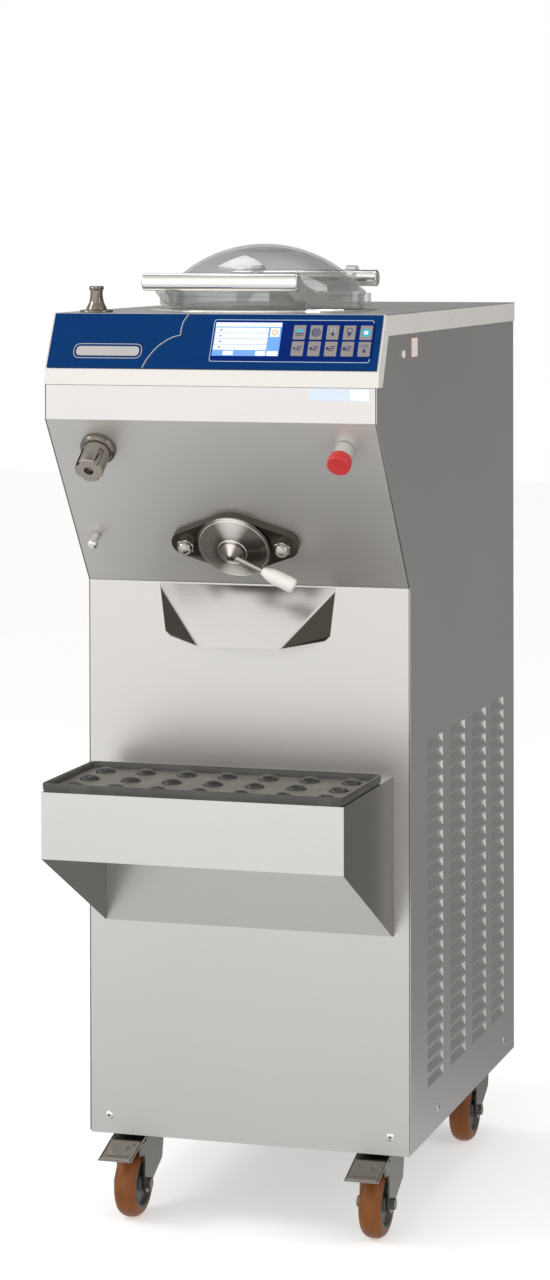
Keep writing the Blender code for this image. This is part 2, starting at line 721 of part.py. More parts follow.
def make_outlet():
    """Flange, sliding disc with its plug, turning hub, lever and grip."""
    place = on_slant(0.0, OUTLET_DOWN)
    bore = PORT_RADIUS + PORT_WALL + GAP
    outline("outlet_flange", [flange_outline(), circle(bore)], GAP, GAP + FLANGE_THICKNESS,
            BRIGHT, place)
    seat = GAP + FLANGE_THICKNESS + GAP
    edge = seat + DISC_EDGE
    face = edge + DISC_CONE
    plug = PORT_RADIUS - RUNNING
    turned("outlet_disc", [(0.0, face), (HUB_RADIUS + 0.002, face), (DISC_RADIUS - 0.001, edge),
                           (DISC_RADIUS, edge - 0.001), (DISC_RADIUS, seat), (plug, seat),
                           (plug, seat - PLUG_LENGTH), (0.0, seat - PLUG_LENGTH)],
           BRIGHT, place, 40)
    foot = face + GAP
    nose = foot + HUB_LENGTH
    hub = turned("outlet_hub", [(0.0, nose + HUB_TIP), (HUB_RADIUS * 0.75, nose),
                                (HUB_RADIUS * 0.85, foot + HUB_LENGTH / 2), (HUB_RADIUS, foot),
                                (0.0, foot)], BRIGHT, place)
    lever = place @ lever_turn(foot + HUB_LENGTH / 2)
    start = HUB_RADIUS * 0.6
    cut(hub, cylinder("lever_socket", LEVER_RADIUS + GAP, start - GAP, 2 * HUB_RADIUS,
                      matrix=lever, sides=16))
    cylinder("lever_rod", LEVER_RADIUS, start, LEVER_LENGTH, BRIGHT, lever, 16)
    grip = LEVER_LENGTH - GRIP_OVERLAP
    end = grip + GRIP_LENGTH
    hole = LEVER_RADIUS + GAP
    turned("lever_grip", [(0.0, end), (GRIP_END_RADIUS, end), (GRIP_END_RADIUS, end - 0.003),
                          (GRIP_RADIUS, end - GRIP_LENGTH * 0.45),
                          (GRIP_RADIUS, grip + GRIP_LENGTH * 0.25),
                          (GRIP_END_RADIUS * 0.8, grip + GRIP_LENGTH * 0.03),
                          (GRIP_END_RADIUS * 0.7, grip), (hole, grip),
                          (hole, LEVER_LENGTH + GAP), (0.0, LEVER_LENGTH + GAP)],
           WHITE, lever, 24)
    for name, sign in (("dome_nut_left", -1), ("dome_nut_right", 1)):
        nut = on_slant(sign * NUT_SPACING / 2, OUTLET_DOWN, seat)
        dome = [(NUT_RADIUS * math.sin(a), NUT_HEIGHT - NUT_RADIUS + NUT_RADIUS * math.cos(a))
                for a in (math.radians(15.0 * step) for step in range(7))]
        turned(name, dome + [(NUT_RADIUS, 0.0), (0.0, 0.0)], BRIGHT, nut, 24)


def lever_turn(height):
    """Lever axis: local Z runs out of the hub to the right and down."""
    lift = Matrix.Rotation(math.radians(90.0 - LEVER_LIFT), 4, "Y")
    return Matrix.Translation((0, 0, height)) @ Matrix.Rotation(-math.radians(LEVER_ANGLE), 4, "Z") @ lift


def make_deflector():
    """Sloping plate with a wing on each side, back to the front panel."""
    top = KNEE - CHUTE_GAP
    wall = FRONT - GAP
    front = wall - CHUTE_REACH
    corners = []
    for sign in (-1, 1):
        corners += [
            (sign * CHUTE_TOP_WIDTH / 2, wall, top), (sign * CHUTE_TIP_WIDTH / 2, front, top - CHUTE_HEIGHT),
            (sign * CHUTE_MID_WIDTH / 2, wall, top - CHUTE_MID_DROP),
            (sign * CHUTE_BACK_WIDTH / 2, wall, top - CHUTE_BACK_DROP),
        ]
    faces = [(0, 1, 5, 4), (0, 2, 1), (2, 3, 1), (4, 5, 6), (6, 5, 7)]
    item = sheet("deflector_chute", corners, faces, SHEET, STEEL, offset=-1.0)
    # trimmed flat where it meets the front panel
    reach = CHUTE_TOP_WIDTH
    cut(item, box("wall_trim", (-reach, wall, top - 0.2), (reach, wall + 0.02, top + 0.02)))
    return item


# ---- shelf ----------------------------------------------------------------
def make_shelf():
    """Sheet bracket: top, apron, two cheeks and a back, open below."""
    back = FRONT - GAP
    front = back - SHELF_REACH
    half = SHELF_WIDTH / 2
    low = SHELF_TOP - SHELF_CHEEK
    apron = SHELF_TOP - SHELF_APRON
    corners = []
    for x in (-half, half):
        corners += [(x, front, SHELF_TOP), (x, front, apron), (x, back, low), (x, back, SHELF_TOP)]
    faces = [(0, 1, 5, 4), (0, 4, 7, 3), (0, 3, 2, 1), (4, 5, 6, 7), (3, 7, 6, 2)]
    sheet("shelf", corners, faces, SHEET, STEEL)


def make_drip_mat():
    """Rubber tray with a raised rim and rows of round bumps."""
    back = FRONT - MAT_BACK_GAP
    front = FRONT - GAP - SHELF_REACH - MAT_LIP + GAP
    half = SHELF_WIDTH / 2
    foot = SHELF_TOP + GAP
    mat = box("drip_mat", (-half, front, foot), (half, back, foot + MAT_RIM), RUBBER)
    inner = MAT_RIM_WIDTH
    cut(mat, box("mat_well", (-half + inner, front + inner, foot + MAT_BASE),
                 (half - inner, back - inner, foot + 2 * MAT_RIM)))
    span_x = 2 * half - 2 * inner
    span_y = back - front - 2 * inner
    pitch_x = span_x / BUMP_COLUMNS
    pitch_y = span_y / BUMP_ROWS
    for row in range(BUMP_ROWS):
        for column in range(BUMP_COLUMNS):
            x = (column - (BUMP_COLUMNS - 1) / 2) * pitch_x
            y = (front + back) / 2 + (row - (BUMP_ROWS - 1) / 2) * pitch_y
            tool = cylinder("bump", BUMP_RADIUS, foot + MAT_BASE / 2, foot + MAT_BASE + BUMP_HEIGHT,
                            matrix=upright(x, y, 0.0), sides=12, top_radius=BUMP_RADIUS * 0.75)
            join(mat, tool)
    return mat


# ---- lid and cylinder -----------------------------------------------------
def make_lid():
    """Clear dome on a ring, with arms to the handle and to the hinge bar."""
    apex = TOP + DOME_APEX
    shoulder = LID_SEAT + LID_RING_HEIGHT
    inner_ring = LID_RADIUS - LID_RING_WIDTH
    centre = apex - DOME_RADIUS
    angle = math.asin((inner_ring - 0.001) / DOME_RADIUS)
    steps = 6
    turns = [angle * i / steps for i in range(steps + 1)]
    outside = [(DOME_RADIUS * math.sin(a), centre + DOME_RADIUS * math.cos(a)) for a in turns]
    hollow = DOME_RADIUS - LID_WALL
    inside = [(hollow * math.sin(a), centre + hollow * math.cos(a)) for a in reversed(turns)]
    wall = inner_ring - LID_WALL
    profile = outside + [(inner_ring, shoulder), (LID_RADIUS - 0.002, shoulder),
                         (LID_RADIUS, shoulder - 0.002), (LID_RADIUS, LID_SEAT), (wall, LID_SEAT),
                         (wall, centre + math.sqrt(hollow ** 2 - wall ** 2))]
    profile += [point for point in inside if point[0] < wall]
    lid = turned("lid_dome", profile, CLEAR, upright(0.0, AXIS_Y, 0.0), 40)
    for sign in (-1, 1):
        join(lid, handle_arm(sign))
        join(lid, hinge_arm(sign))
        side = sign * (LID_RADIUS + LUG_OUT)
        join(lid, box("lug", (side - LUG_SIZE / 2, AXIS_Y - LUG_SIZE / 2, LID_SEAT + LUG_RISE),
                      (side + LUG_SIZE / 2, AXIS_Y + LUG_SIZE / 2, LID_SEAT + LUG_RISE + LUG_SIZE)))
    for end in (-1, 1):
        place = along_x(0.0, AXIS_Y + end * BAR_REACH, BAR_Z)
        cut(lid, cylinder("bar_bore", BAR_RADIUS + RUNNING, -BAR_LENGTH, BAR_LENGTH,
                          matrix=place, sides=32))
    return put_origin(lid, 0.0, HINGE_Y, BAR_Z)


def arm_root(spacing):
    """Height range and distance from the lid's middle at which an arm leaves the ring."""
    mean = LID_RADIUS - LID_RING_WIDTH / 2
    return LID_SEAT + 0.008, LID_SEAT + LID_RING_HEIGHT - 0.001, math.sqrt(mean ** 2 - (spacing / 2) ** 2)


def handle_arm(sign):
    """Arm to the handle: it cups the bar from behind."""
    low, high, root = arm_root(HANDLE_ARM_SPACING)
    y = AXIS_Y - BAR_REACH
    cup = BAR_RADIUS * 0.8
    near = y + BAR_RADIUS * 0.3
    far = y + BAR_RADIUS + ARM_END
    shape = [(AXIS_Y - root, low), (AXIS_Y - root, high), (far, BAR_Z + cup), (near, BAR_Z + cup),
             (near, BAR_Z - cup), (far, BAR_Z - cup)]
    return outline("handle_arm", [shape], -ARM_WIDTH / 2, ARM_WIDTH / 2,
                   matrix=side_view(sign * HANDLE_ARM_SPACING / 2))


def hinge_arm(sign):
    """Arm to the hinge bar, with an eye round the bar."""
    low, high, root = arm_root(HINGE_ARM_SPACING)
    eye = BAR_RADIUS + ARM_THICKNESS
    arc = [math.radians(135.0 - 22.5 * step) for step in range(11)]
    shape = [(AXIS_Y + root, low), (AXIS_Y + root, high)]
    shape += [(HINGE_Y + eye * math.cos(a), BAR_Z + eye * math.sin(a)) for a in arc]
    return outline("hinge_arm", [shape], -ARM_WIDTH / 2, ARM_WIDTH / 2,
                   matrix=side_view(sign * HINGE_ARM_SPACING / 2))


def make_lid_fittings():
    turned("cylinder_rim", [(RIM_HOLE - COVER_CLEARANCE / 2, TOP + GAP + RIM_THICKNESS),
                            (RIM_HOLE + RIM_WIDTH - 0.001, TOP + GAP + RIM_THICKNESS),
                            (RIM_HOLE + RIM_WIDTH, TOP + GAP + RIM_THICKNESS - 0.001),
                            (RIM_HOLE + RIM_WIDTH, TOP + GAP),
                            (RIM_HOLE - COVER_CLEARANCE / 2, TOP + GAP)],
           BRIGHT, upright(0.0, AXIS_Y, 0.0), 48)
    for name, end in (("lid_handle", -1), ("hinge_bar", 1)):
        place = along_x(0.0, AXIS_Y + end * BAR_REACH, BAR_Z)
        half = BAR_LENGTH / 2
        turned(name, [(0.0, half), (BAR_RADIUS - 0.0015, half), (BAR_RADIUS, half - 0.0015),
                      (BAR_RADIUS, 0.0015 - half), (BAR_RADIUS - 0.0015, -half), (0.0, -half)],
               BRIGHT, place)
    put_origin(bpy.data.objects["lid_handle"], 0.0, HINGE_Y, BAR_Z)
    half = SADDLE_LENGTH / 2
    join(bpy.data.objects["hinge_bar"],
         box("saddle", (-half, HINGE_Y - SADDLE_DEPTH / 2, TOP + GAP),
             (half, HINGE_Y + SADDLE_DEPTH / 2, BAR_Z)))


def make_freezing_cylinder():
    """Open-topped bore with a foot ring and an inclined outlet port."""
    place = upright(0.0, AXIS_Y, 0.0)
    rim = LID_SEAT - GAP
    base = BORE_FLOOR - CYLINDER_WALL
    foot = DECK_TOP + GAP
    barrel = turned("freezing_cylinder", [
        (0.0, rim), (CYLINDER_OUTER, rim), (CYLINDER_OUTER, base), (FOOT_RING, base), (FOOT_RING, foot),
        (FOOT_RING - CYLINDER_WALL, foot), (FOOT_RING - CYLINDER_WALL, base), (0.0, base)],
        BRIGHT, place, 48)
    port = on_slant(0.0, OUTLET_DOWN)
    outer = PORT_RADIUS + PORT_WALL
    join(barrel, cylinder("port_tube", outer, -PORT_DEPTH, GAP + FLANGE_THICKNESS, matrix=port))
    cut(barrel, cylinder("bore", CYLINDER_BORE, BORE_FLOOR, rim + 0.01, matrix=place, sides=48))
    cut(barrel, cylinder("port_bore", PORT_RADIUS, -PORT_BORE_DEPTH, 2 * FLANGE_THICKNESS, matrix=port))
    cut(barrel, cylinder("shaft_hole", SEAL_RADIUS + GAP, base - 0.01, BORE_FLOOR + 0.01, matrix=place))
    return barrel


def make_dasher():
    """Turning shaft, scraper frame and two blades."""
    place = upright(0.0, AXIS_Y, 0.0)
    low = BORE_FLOOR + SEAL_RISE + DASHER_LIFT
    high = low + DASHER_HEIGHT
    wide = CYLINDER_BORE - BLADE_CLEARANCE - DASHER_ARM
    hub = SHAFT_RADIUS + DASHER_HUB_WALL
    inset = 2 * BLADE_OVERLAP
    dasher = cylinder("dasher", hub, low, high, STEEL, place, 24)
    for number, z in enumerate((low + inset, high - inset - DASHER_ARM)):
        join(dasher, box(f"cross_{number}", (-wide, -DASHER_ARM / 2, z),
                         (wide, DASHER_ARM / 2, z + DASHER_ARM), matrix=place))
    for sign in (-1, 1):
        left, right = sorted((sign * wide, sign * (wide - DASHER_ARM)))
        join(dasher, box("upright", (left, -DASHER_ARM / 2, low + inset),
                         (right, DASHER_ARM / 2, high - inset), matrix=place))
    cut(dasher, cylinder("shaft_bore", SHAFT_RADIUS + GAP, low - 0.01, high - DASHER_HUB_CAP,
                         matrix=place, sides=24))
    for name, sign in (("scraper_blade_left", -1), ("scraper_blade_right", 1)):
        near = wide + GAP
        far = CYLINDER_BORE - BLADE_CLEARANCE
        left, right = sorted((sign * near, sign * far))
        box(name, (left, -BLADE_THICKNESS / 2, low + BLADE_OVERLAP),
            (right, BLADE_THICKNESS / 2, high - BLADE_OVERLAP), WHITE, place)
    top = high - DASHER_HUB_CAP - GAP
    cylinder("drive_shaft", SHAFT_RADIUS, DECK_TOP - DECK_THICKNESS - SHAFT_FOOT, top, BRIGHT, place, 24)
    bore = SHAFT_RADIUS + RUNNING
    turned("shaft_seal", [(bore, BORE_FLOOR + SEAL_RISE), (SEAL_RADIUS, BORE_FLOOR + SEAL_RISE),
                          (SEAL_RADIUS, BORE_FLOOR - CYLINDER_WALL - SEAL_DROP),
                          (bore, BORE_FLOOR - CYLINDER_WALL - SEAL_DROP)], BLACK, place, 24)


# ---- frame and machinery --------------------------------------------------
def make_frame():
    """Tray, four corner posts and the deck under the cylinder."""
    front = FRONT + SHEET + GAP
    rear = SHELL_REAR - SHEET - GAP
    low = BASE
    high = BASE + TRAY_WALL
    ends = ((-LINING, front), (LINING, front), (LINING, rear), (-LINING, rear))
    corners = [(x, y, low) for x, y in ends] + [(x, y, high) for x, y in ends]
    faces = [(3, 2, 1, 0), (0, 1, 5, 4), (1, 2, 6, 5), (2, 3, 7, 6), (3, 0, 4, 7)]
    sheet("base_tray", corners, faces, PLATE, DARK_STEEL)
    inset = LINING - PLATE - GAP
    for end, y, toward in (("front", front + PLATE + GAP, 1), ("rear", rear - PLATE - GAP, -1)):
        for side, sign in (("left", -1), ("right", 1)):
            angle = [(0, 0), (POST_SIZE, 0), (POST_SIZE, PLATE), (PLATE, PLATE), (PLATE, POST_SIZE),
                     (0, POST_SIZE)]
            loop = [(sign * (inset - u), y + toward * v) for u, v in angle]
            outline(f"post_{end}_{side}", [loop], BASE + PLATE + GAP, TOP - SHEET - 2 * GAP, DARK_STEEL)
    near = inset - POST_SIZE - GAP
    hole = circle(SHAFT_RADIUS + SHAFT_CLEARANCE, 24, 0.0, AXIS_Y)
    start = FRONT + SHEET + DECK_SET
    outline("deck", [rectangle(-near, start, near, start + DECK_DEPTH), hole],
            DECK_TOP - DECK_THICKNESS, DECK_TOP, DARK_STEEL)


def make_gear_motor():
    """Gearbox under the deck with its motor hanging below."""
    place = upright(0.0, AXIS_Y, 0.0)
    top = DECK_TOP - DECK_THICKNESS - GAP
    half = GEARBOX_SIZE / 2
    motor = box("gear_motor", (-half, -half, top - GEARBOX_HEIGHT), (half, half, top), DARK_STEEL, place)
    join(motor, cylinder("motor_can", MOTOR_RADIUS, top - GEARBOX_HEIGHT - MOTOR_LENGTH,
                         top - GEARBOX_HEIGHT + 0.01, matrix=place, sides=24))
    cut(motor, cylinder("output_bore", SHAFT_RADIUS + RUNNING, top - OUTPUT_DEPTH, top + 0.01,
                        matrix=place, sides=24))


def make_refrigeration():
    """Hermetic compressor, finned condenser, its fan and the shroud."""
    floor = BASE + PLATE + GAP
    place = upright(COMPRESSOR_ACROSS, FRONT + COMPRESSOR_BACK, floor)
    radius = COMPRESSOR_RADIUS
    height = COMPRESSOR_HEIGHT
    turned("compressor", [(0.0, height), (radius * 0.6, height), (radius * 0.95, height - 0.030),
                          (radius, height - 0.060), (radius, 0.020), (radius * 1.15, 0.004),
                          (radius * 1.15, 0.0), (0.0, 0.0)], BLACK, place, 24)
    rear = SHELL_REAR - SHEET - PLATE - CONDENSER_REAR_GAP
    half = CONDENSER_WIDTH / 2
    box("condenser", (-half, rear - CONDENSER_THICKNESS, floor), (half, rear, floor + CONDENSER_HEIGHT),
        COPPER)
    face = rear - CONDENSER_THICKNESS - GAP
    middle = floor + CONDENSER_HEIGHT / 2
    opening = circle(FAN_RADIUS + FAN_CLEARANCE, 40, 0.0, middle)
    outline("fan_shroud", [rectangle(-half, floor, half, floor + CONDENSER_HEIGHT), opening],
            0.0, SHROUD_THICKNESS, BLACK, front_view(face))
    place = upright(0.0, face - SHROUD_THICKNESS / 2, middle) @ Matrix.Rotation(math.pi / 2, 4, "X")
    fan = cylinder("condenser_fan", FAN_HUB, -FAN_WIDTH / 2, FAN_WIDTH / 2, BLACK, place, 24)
    for number in range(FAN_BLADES):
        turn = place @ Matrix.Rotation(2 * math.pi * number / FAN_BLADES, 4, "Z")
        twist = turn @ Matrix.Rotation(math.radians(FAN_PITCH), 4, "X")
        join(fan, box(f"blade_{number}", (FAN_HUB * 0.7, -FAN_CHORD / 2, -FAN_BLADE / 2),
                      (FAN_RADIUS, FAN_CHORD / 2, FAN_BLADE / 2), matrix=twist))


def make_hose_post():
    wide = POST_BASE_RADIUS
    turned("hose_post", [(0.0, POST_HEIGHT), (0.0075, POST_HEIGHT), (0.0095, POST_HEIGHT - 0.002),
                         (0.0090, POST_HEIGHT - 0.005), (0.0075, POST_HEIGHT - 0.009),
                         (0.0085, 0.016), (0.0145, 0.007), (0.0145, 0.004), (wide, 0.003),
                         (wide, GAP), (0.0, GAP)], BRIGHT,
           upright(POST_ACROSS, FRONT - POST_FORWARD, TOP))


# ---- castors --------------------------------------------------------------
def castor_places():
    places = []
    for end, y in (("front", FRONT + CASTOR_INSET), ("rear", REAR - CASTOR_INSET)):
        for side, sign in (("left", -1), ("right", 1)):
            places.append((f"{end}_{side}", sign * CASTOR_ACROSS, y, end == "front"))
    return places


def make_castor(label, x, y, braked):
    """Swivel plate, trailing fork with its axle bolt, wheel and brake pedal."""
    half = CASTOR_PLATE / 2
    top = BASE - GAP
    low = top - FORK_SHEET
    race = low - RACE_HEIGHT
    plate = box(f"castor_plate_{label}", (-half, -half, low), (half, half, top), STEEL, upright(x, y, 0.0))
    join(plate, cylinder("race", RACE_RADIUS, race, low + 0.001, matrix=upright(x, y, 0.0), sides=24))
    crown = race - GAP
    make_fork(label, x, y, crown)
    wheel_y = y - CASTOR_TRAIL
    radius = WHEEL_RADIUS
    wide = WHEEL_WIDTH / 2
    bore = AXLE_RADIUS + RUNNING
    rim = WHEEL_RIM
    # the wheel stands on one of its flats, so its corners lie outside its radius
    half_side = math.pi / WHEEL_SIDES
    tread = radius / math.cos(half_side)
    outer_half = [(bore, wide), (WHEEL_BOSS, wide), (WHEEL_BOSS, wide - WHEEL_DISH),
                  (rim, wide - WHEEL_DISH), (rim, wide), (tread - TREAD_ROUND, wide),
                  (tread, wide - 2 * TREAD_ROUND)]
    inner_half = [(r, -z) for r, z in reversed(outer_half)]
    place = along_x(x, wheel_y, radius) @ Matrix.Rotation(half_side, 4, "Z")
    turned(f"castor_wheel_{label}", outer_half + inner_half, AMBER, place, WHEEL_SIDES)
    if braked:
        make_pedal(label, x, y, crown)


def make_fork(label, x, y, crown):
    """Inverted U cut to the side outline, with the axle bolt through it."""
    inner = WHEEL_WIDTH / 2 + FORK_PLAY
    outer = inner + FORK_SHEET
    axle_y = y - CASTOR_TRAIL
    section = [(-outer, 0.0), (-outer, crown), (outer, crown), (outer, 0.0), (inner, 0.0),
               (inner, crown - FORK_SHEET), (-inner, crown - FORK_SHEET), (-inner, 0.0)]
    reach = FORK_CROWN
    fork = outline(f"castor_fork_{label}", [section], -2 * reach, 3 * reach, STEEL,
                   Matrix.Translation((x, 0, 0)) @ front_view(y))
    foot = WHEEL_RADIUS
    eye = FORK_EYE
    nose = axle_y - FORK_NOSE
    side = [(y + reach, crown + 0.001), (y + reach + 0.001, crown - 0.014),
            (y + reach - 0.006, foot + 0.022), (axle_y + 0.030, foot + 0.004)]
    side += [(axle_y + eye * math.cos(a), foot + eye * math.sin(a))
             for a in (math.radians(-20.0 - 32.0 * step) for step in range(6))]
    side += [(axle_y - eye * 0.8, foot + 0.028), (axle_y - eye, crown - 0.022),
             (nose + 0.002, crown - 0.022), (nose, crown - 0.016), (nose, crown + 0.001)]
    tool = outline("side_shape", [side], -2 * outer, 2 * outer, matrix=side_view(x))
    boolean(fork, tool, "INTERSECT")
    # the crown is open in front, where the brake pedal passes
    cut(fork, box("crown_notch", (x - outer - 0.01, nose - 0.01, crown - FORK_SHEET - 0.001),
                  (x + outer + 0.01, axle_y - CROWN_FRONT, crown + 0.01)))
    axle = along_x(x, axle_y, WHEEL_RADIUS)
    join(fork, cylinder("axle", AXLE_RADIUS, -outer - 0.002, outer + 0.002, matrix=axle, sides=20))
    for sign in (-1, 1):
        near, far = sorted((sign * (outer - 0.001), sign * (outer + AXLE_NUT_HEIGHT)))
        join(fork, cylinder("axle_nut", AXLE_NUT_RADIUS, near, far, matrix=axle, sides=6))
    return put_origin(fork, x, y, crown)


def make_pedal(label, x, y, crown):
    """Stamped brake pedal on a pin between the fork's cheeks."""
    pin_y, pin_z = pedal_pin(y, crown)
    half = PEDAL_WIDTH / 2
    under = crown + RUNNING + 0.0005
    lip = pin_y - PEDAL_REACH
    profile = [(pin_y + 0.010, under + 0.003), (pin_y - 0.004, under),
               (lip + 0.006, under - PEDAL_FALL), (lip, under - PEDAL_FALL)]
    pedal = folded(f"brake_pedal_{label}", profile, x - half, x + half, PEDAL_SHEET, BRIGHT, offset=1.0)
    cheek = WHEEL_WIDTH / 2 + FORK_PLAY - RUNNING
    join(pedal, cylinder("pedal_pin", PEDAL_RADIUS, -cheek, cheek,
                         matrix=along_x(x, pin_y, pin_z), sides=16))
    join(pedal, box("pedal_web", (x - cheek, pin_y - PEDAL_RADIUS, pin_z),
                    (x + cheek, pin_y + PEDAL_RADIUS * 0.6, under + 0.001)))
    return put_origin(pedal, x, pin_y, pin_z)


def pedal_pin(y, crown):
    return y - CASTOR_TRAIL - PEDAL_PIN_AHEAD, crown - PEDAL_PIN_DROP


# ---- assembly -------------------------------------------------------------
def main():
    make_side_panels()
    make_front_panel()
    make_head_panel()
    make_rear_panel()
    make_top_cover()
    make_control_fascia()
    make_display_and_keypad()
    make_stop_button()
    make_valve_knob()
    make_hook_stud()
    make_outlet()
    make_deflector()
    make_shelf()
    make_drip_mat()
    make_lid()
    make_lid_fittings()
    make_freezing_cylinder()
    make_dasher()
    make_frame()
    make_gear_motor()
    make_refrigeration()
    make_hose_post()
    for label, x, y, braked in castor_places():
        make_castor(label, x, y, braked)


clear_scene()
PARTS = collection("ice_cream_maker")
CUTTERS = collection("cutters")
main()
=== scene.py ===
import json
import math
import bmesh
import bpy
from mathutils import Matrix, Vector


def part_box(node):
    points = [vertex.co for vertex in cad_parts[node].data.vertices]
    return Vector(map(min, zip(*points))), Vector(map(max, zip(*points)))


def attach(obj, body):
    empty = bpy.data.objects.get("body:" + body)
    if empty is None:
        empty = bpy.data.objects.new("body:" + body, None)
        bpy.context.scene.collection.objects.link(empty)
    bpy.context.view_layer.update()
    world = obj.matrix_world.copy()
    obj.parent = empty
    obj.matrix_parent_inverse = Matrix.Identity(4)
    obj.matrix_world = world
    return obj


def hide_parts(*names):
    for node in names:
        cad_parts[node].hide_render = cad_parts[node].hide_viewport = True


# Ice cream maker: finishes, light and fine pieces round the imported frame. Metres, z up, front at -y.
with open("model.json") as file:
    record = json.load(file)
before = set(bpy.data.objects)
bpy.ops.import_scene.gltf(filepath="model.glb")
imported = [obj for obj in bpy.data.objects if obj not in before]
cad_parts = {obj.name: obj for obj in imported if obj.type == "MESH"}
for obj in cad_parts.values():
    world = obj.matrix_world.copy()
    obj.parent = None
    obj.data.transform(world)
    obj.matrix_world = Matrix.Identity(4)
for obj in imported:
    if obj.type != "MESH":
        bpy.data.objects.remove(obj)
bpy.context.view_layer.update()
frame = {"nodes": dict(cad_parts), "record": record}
nodes = frame["nodes"]
scene = bpy.context.scene
print("frame loaded:", len(nodes), "nodes")


# node helpers
class Val:  # a socket that can be used in sums
    def __init__(self, nodeTree, out):
        self.nodeTree, self.out = nodeTree, out

    def sum(self, operation, a, b):
        return self.nodeTree.node("ShaderNodeMath", {"operation": operation}, {0: a, 1: b})

    def __add__(self, other):
        return self.sum("ADD", self, other)

    def __sub__(self, other):
        return self.sum("SUBTRACT", self, other)

    def __rsub__(self, other):
        return self.sum("SUBTRACT", other, self)

    def __mul__(self, other):
        return self.sum("MULTIPLY", self, other)

    def __truediv__(self, other):
        return self.sum("DIVIDE", self, other)

    def __rtruediv__(self, other):
        return self.sum("DIVIDE", other, self)

    def __abs__(self):
        return self.sum("ABSOLUTE", self, 0.0)

    def __pow__(self, other):
        return self.sum("POWER", self, other)

    def __rpow__(self, other):
        return self.sum("POWER", other, self)

    __radd__ = __add__
    __rmul__ = __mul__


class Nodes:  # one node tree, for a finish or for the world
    def __init__(self, tree):
        self.tree = tree
        tree.nodes.clear()

    def node(self, kind, settings=None, sockets=None, output=0):
        made = self.tree.nodes.new(kind)
        for key, value in (settings or {}).items():
            if key == "stops":
                ramp = made.color_ramp
                while len(ramp.elements) < len(value):
                    ramp.elements.new(0.5)
                for element, (at, colour) in zip(ramp.elements, value):
                    element.position, element.color = at, colour
            else:
                setattr(made, key, value)
        for key, value in (sockets or {}).items():
            if isinstance(value, Val):
                self.tree.links.new(value.out, made.inputs[key])
            else:
                made.inputs[key].default_value = value
        return Val(self, made.outputs[output]) if made.outputs else None

    def place(self):
        return self.node("ShaderNodeTexCoord", output="Object")

    def stretched(self, scale):
        return self.node("ShaderNodeVectorMath", {"operation": "MULTIPLY"}, {0: self.place(), 1: scale})

    def noise(self, scale, detail=2.0, stretch=(1, 1, 1), rough=0.5):
        return self.node("ShaderNodeTexNoise", None, {"Vector": self.stretched(stretch), "Scale": scale,
                                                      "Detail": detail, "Roughness": rough})

    def smooth(self, value, low, high):
        return self.node("ShaderNodeMapRange", {"interpolation_type": "SMOOTHSTEP"},
                         {"Value": value, "From Min": low, "From Max": high})

    def blend(self, factor, first, second):
        return self.node("ShaderNodeMix", {"data_type": "RGBA"}, {0: factor, 6: first, 7: second}, 2)

    def bump(self, height, strength, distance):
        return self.node("ShaderNodeBump", None, {"Height": height, "Strength": strength, "Distance": distance})


def grey(value, alpha=1.0):
    return (value, value, value, alpha)


def rgb(red, green, blue):  # 0-255 screen values to linear
    def one(v):
        v = v / 255
        return v / 12.92 if v <= 0.04045 else ((v + 0.055) / 1.055) ** 2.4
    return (one(red), one(green), one(blue), 1.0)


finishes = {}


def newFinish(name):
    material = bpy.data.materials.new(name)
    material.use_nodes = True
    finishes[name] = material
    return Nodes(material.node_tree)


def closeFinish(n, sockets):
    shader = n.node("ShaderNodeBsdfPrincipled", None, sockets)
    n.node("ShaderNodeOutputMaterial", None, {"Surface": shader})


# finishes
# where an entry names an area, its bright tone is painted there as painted light: a painted highlight on the chin band
# and on the cover's folded sides, a painted shade on the shelf's cheeks; the chute's own tone is a painted shade for
# its folded wings, and its bright tone is the flat
steels = {
    "casingSteel": {"tone": rgb(203, 201, 198), "rough": 0.36, "grain": (9, 9, 900), "depth": 0.012},
    "slantSteel": {"tone": rgb(208, 206, 202), "rough": 0.50, "grain": (9, 700, 700), "depth": 0.012,
                   "bright": rgb(216, 214, 213), "where": "chin"},
    "coverSteel": {"tone": rgb(212, 210, 207), "rough": 0.30, "grain": (1500, 9, 9), "depth": 0.005,
                   "bright": rgb(238, 235, 230), "where": "lip"},
    "shelfSteel": {"tone": rgb(203, 201, 199), "rough": 0.30, "grain": (9, 1300, 1300), "depth": 0.006,
                   "bright": rgb(124, 120, 113), "where": "cheek"},
    "chuteSteel": {"tone": rgb(76, 71, 64), "rough": 0.26, "grain": (9, 700, 700), "depth": 0.012,
                   "bright": rgb(206, 204, 202), "where": "chute"},
    "knobSteel": {"tone": rgb(166, 160, 152), "rough": 0.22, "grain": (240, 240, 240), "depth": 0.03},
    "collarSteel": {"tone": rgb(128, 122, 116), "rough": 0.24, "grain": (240, 240, 240), "depth": 0.03},
    "castorSteel": {"tone": rgb(118, 114, 106), "rough": 0.30, "grain": (90, 90, 90), "depth": 0.03},
    "pedalSteel": {"tone": rgb(150, 146, 138), "rough": 0.22, "grain": (120, 120, 120), "depth": 0.03},
    "frameSteel": {"tone": rgb(150, 148, 145), "rough": 0.42, "grain": (40, 40, 40), "depth": 0.08},
    "dasherSteel": {"tone": rgb(205, 203, 200), "rough": 0.30, "grain": (200, 200, 30), "depth": 0.05},
}


deflector = {"out": (0.0, -0.8902, 0.4555), "level": 0.6078}  # the plane of its flat face


def dullOf(tone, share=0.86):  # the same tone, darker
    return tuple(share * v for v in tone[:3]) + (1.0,)


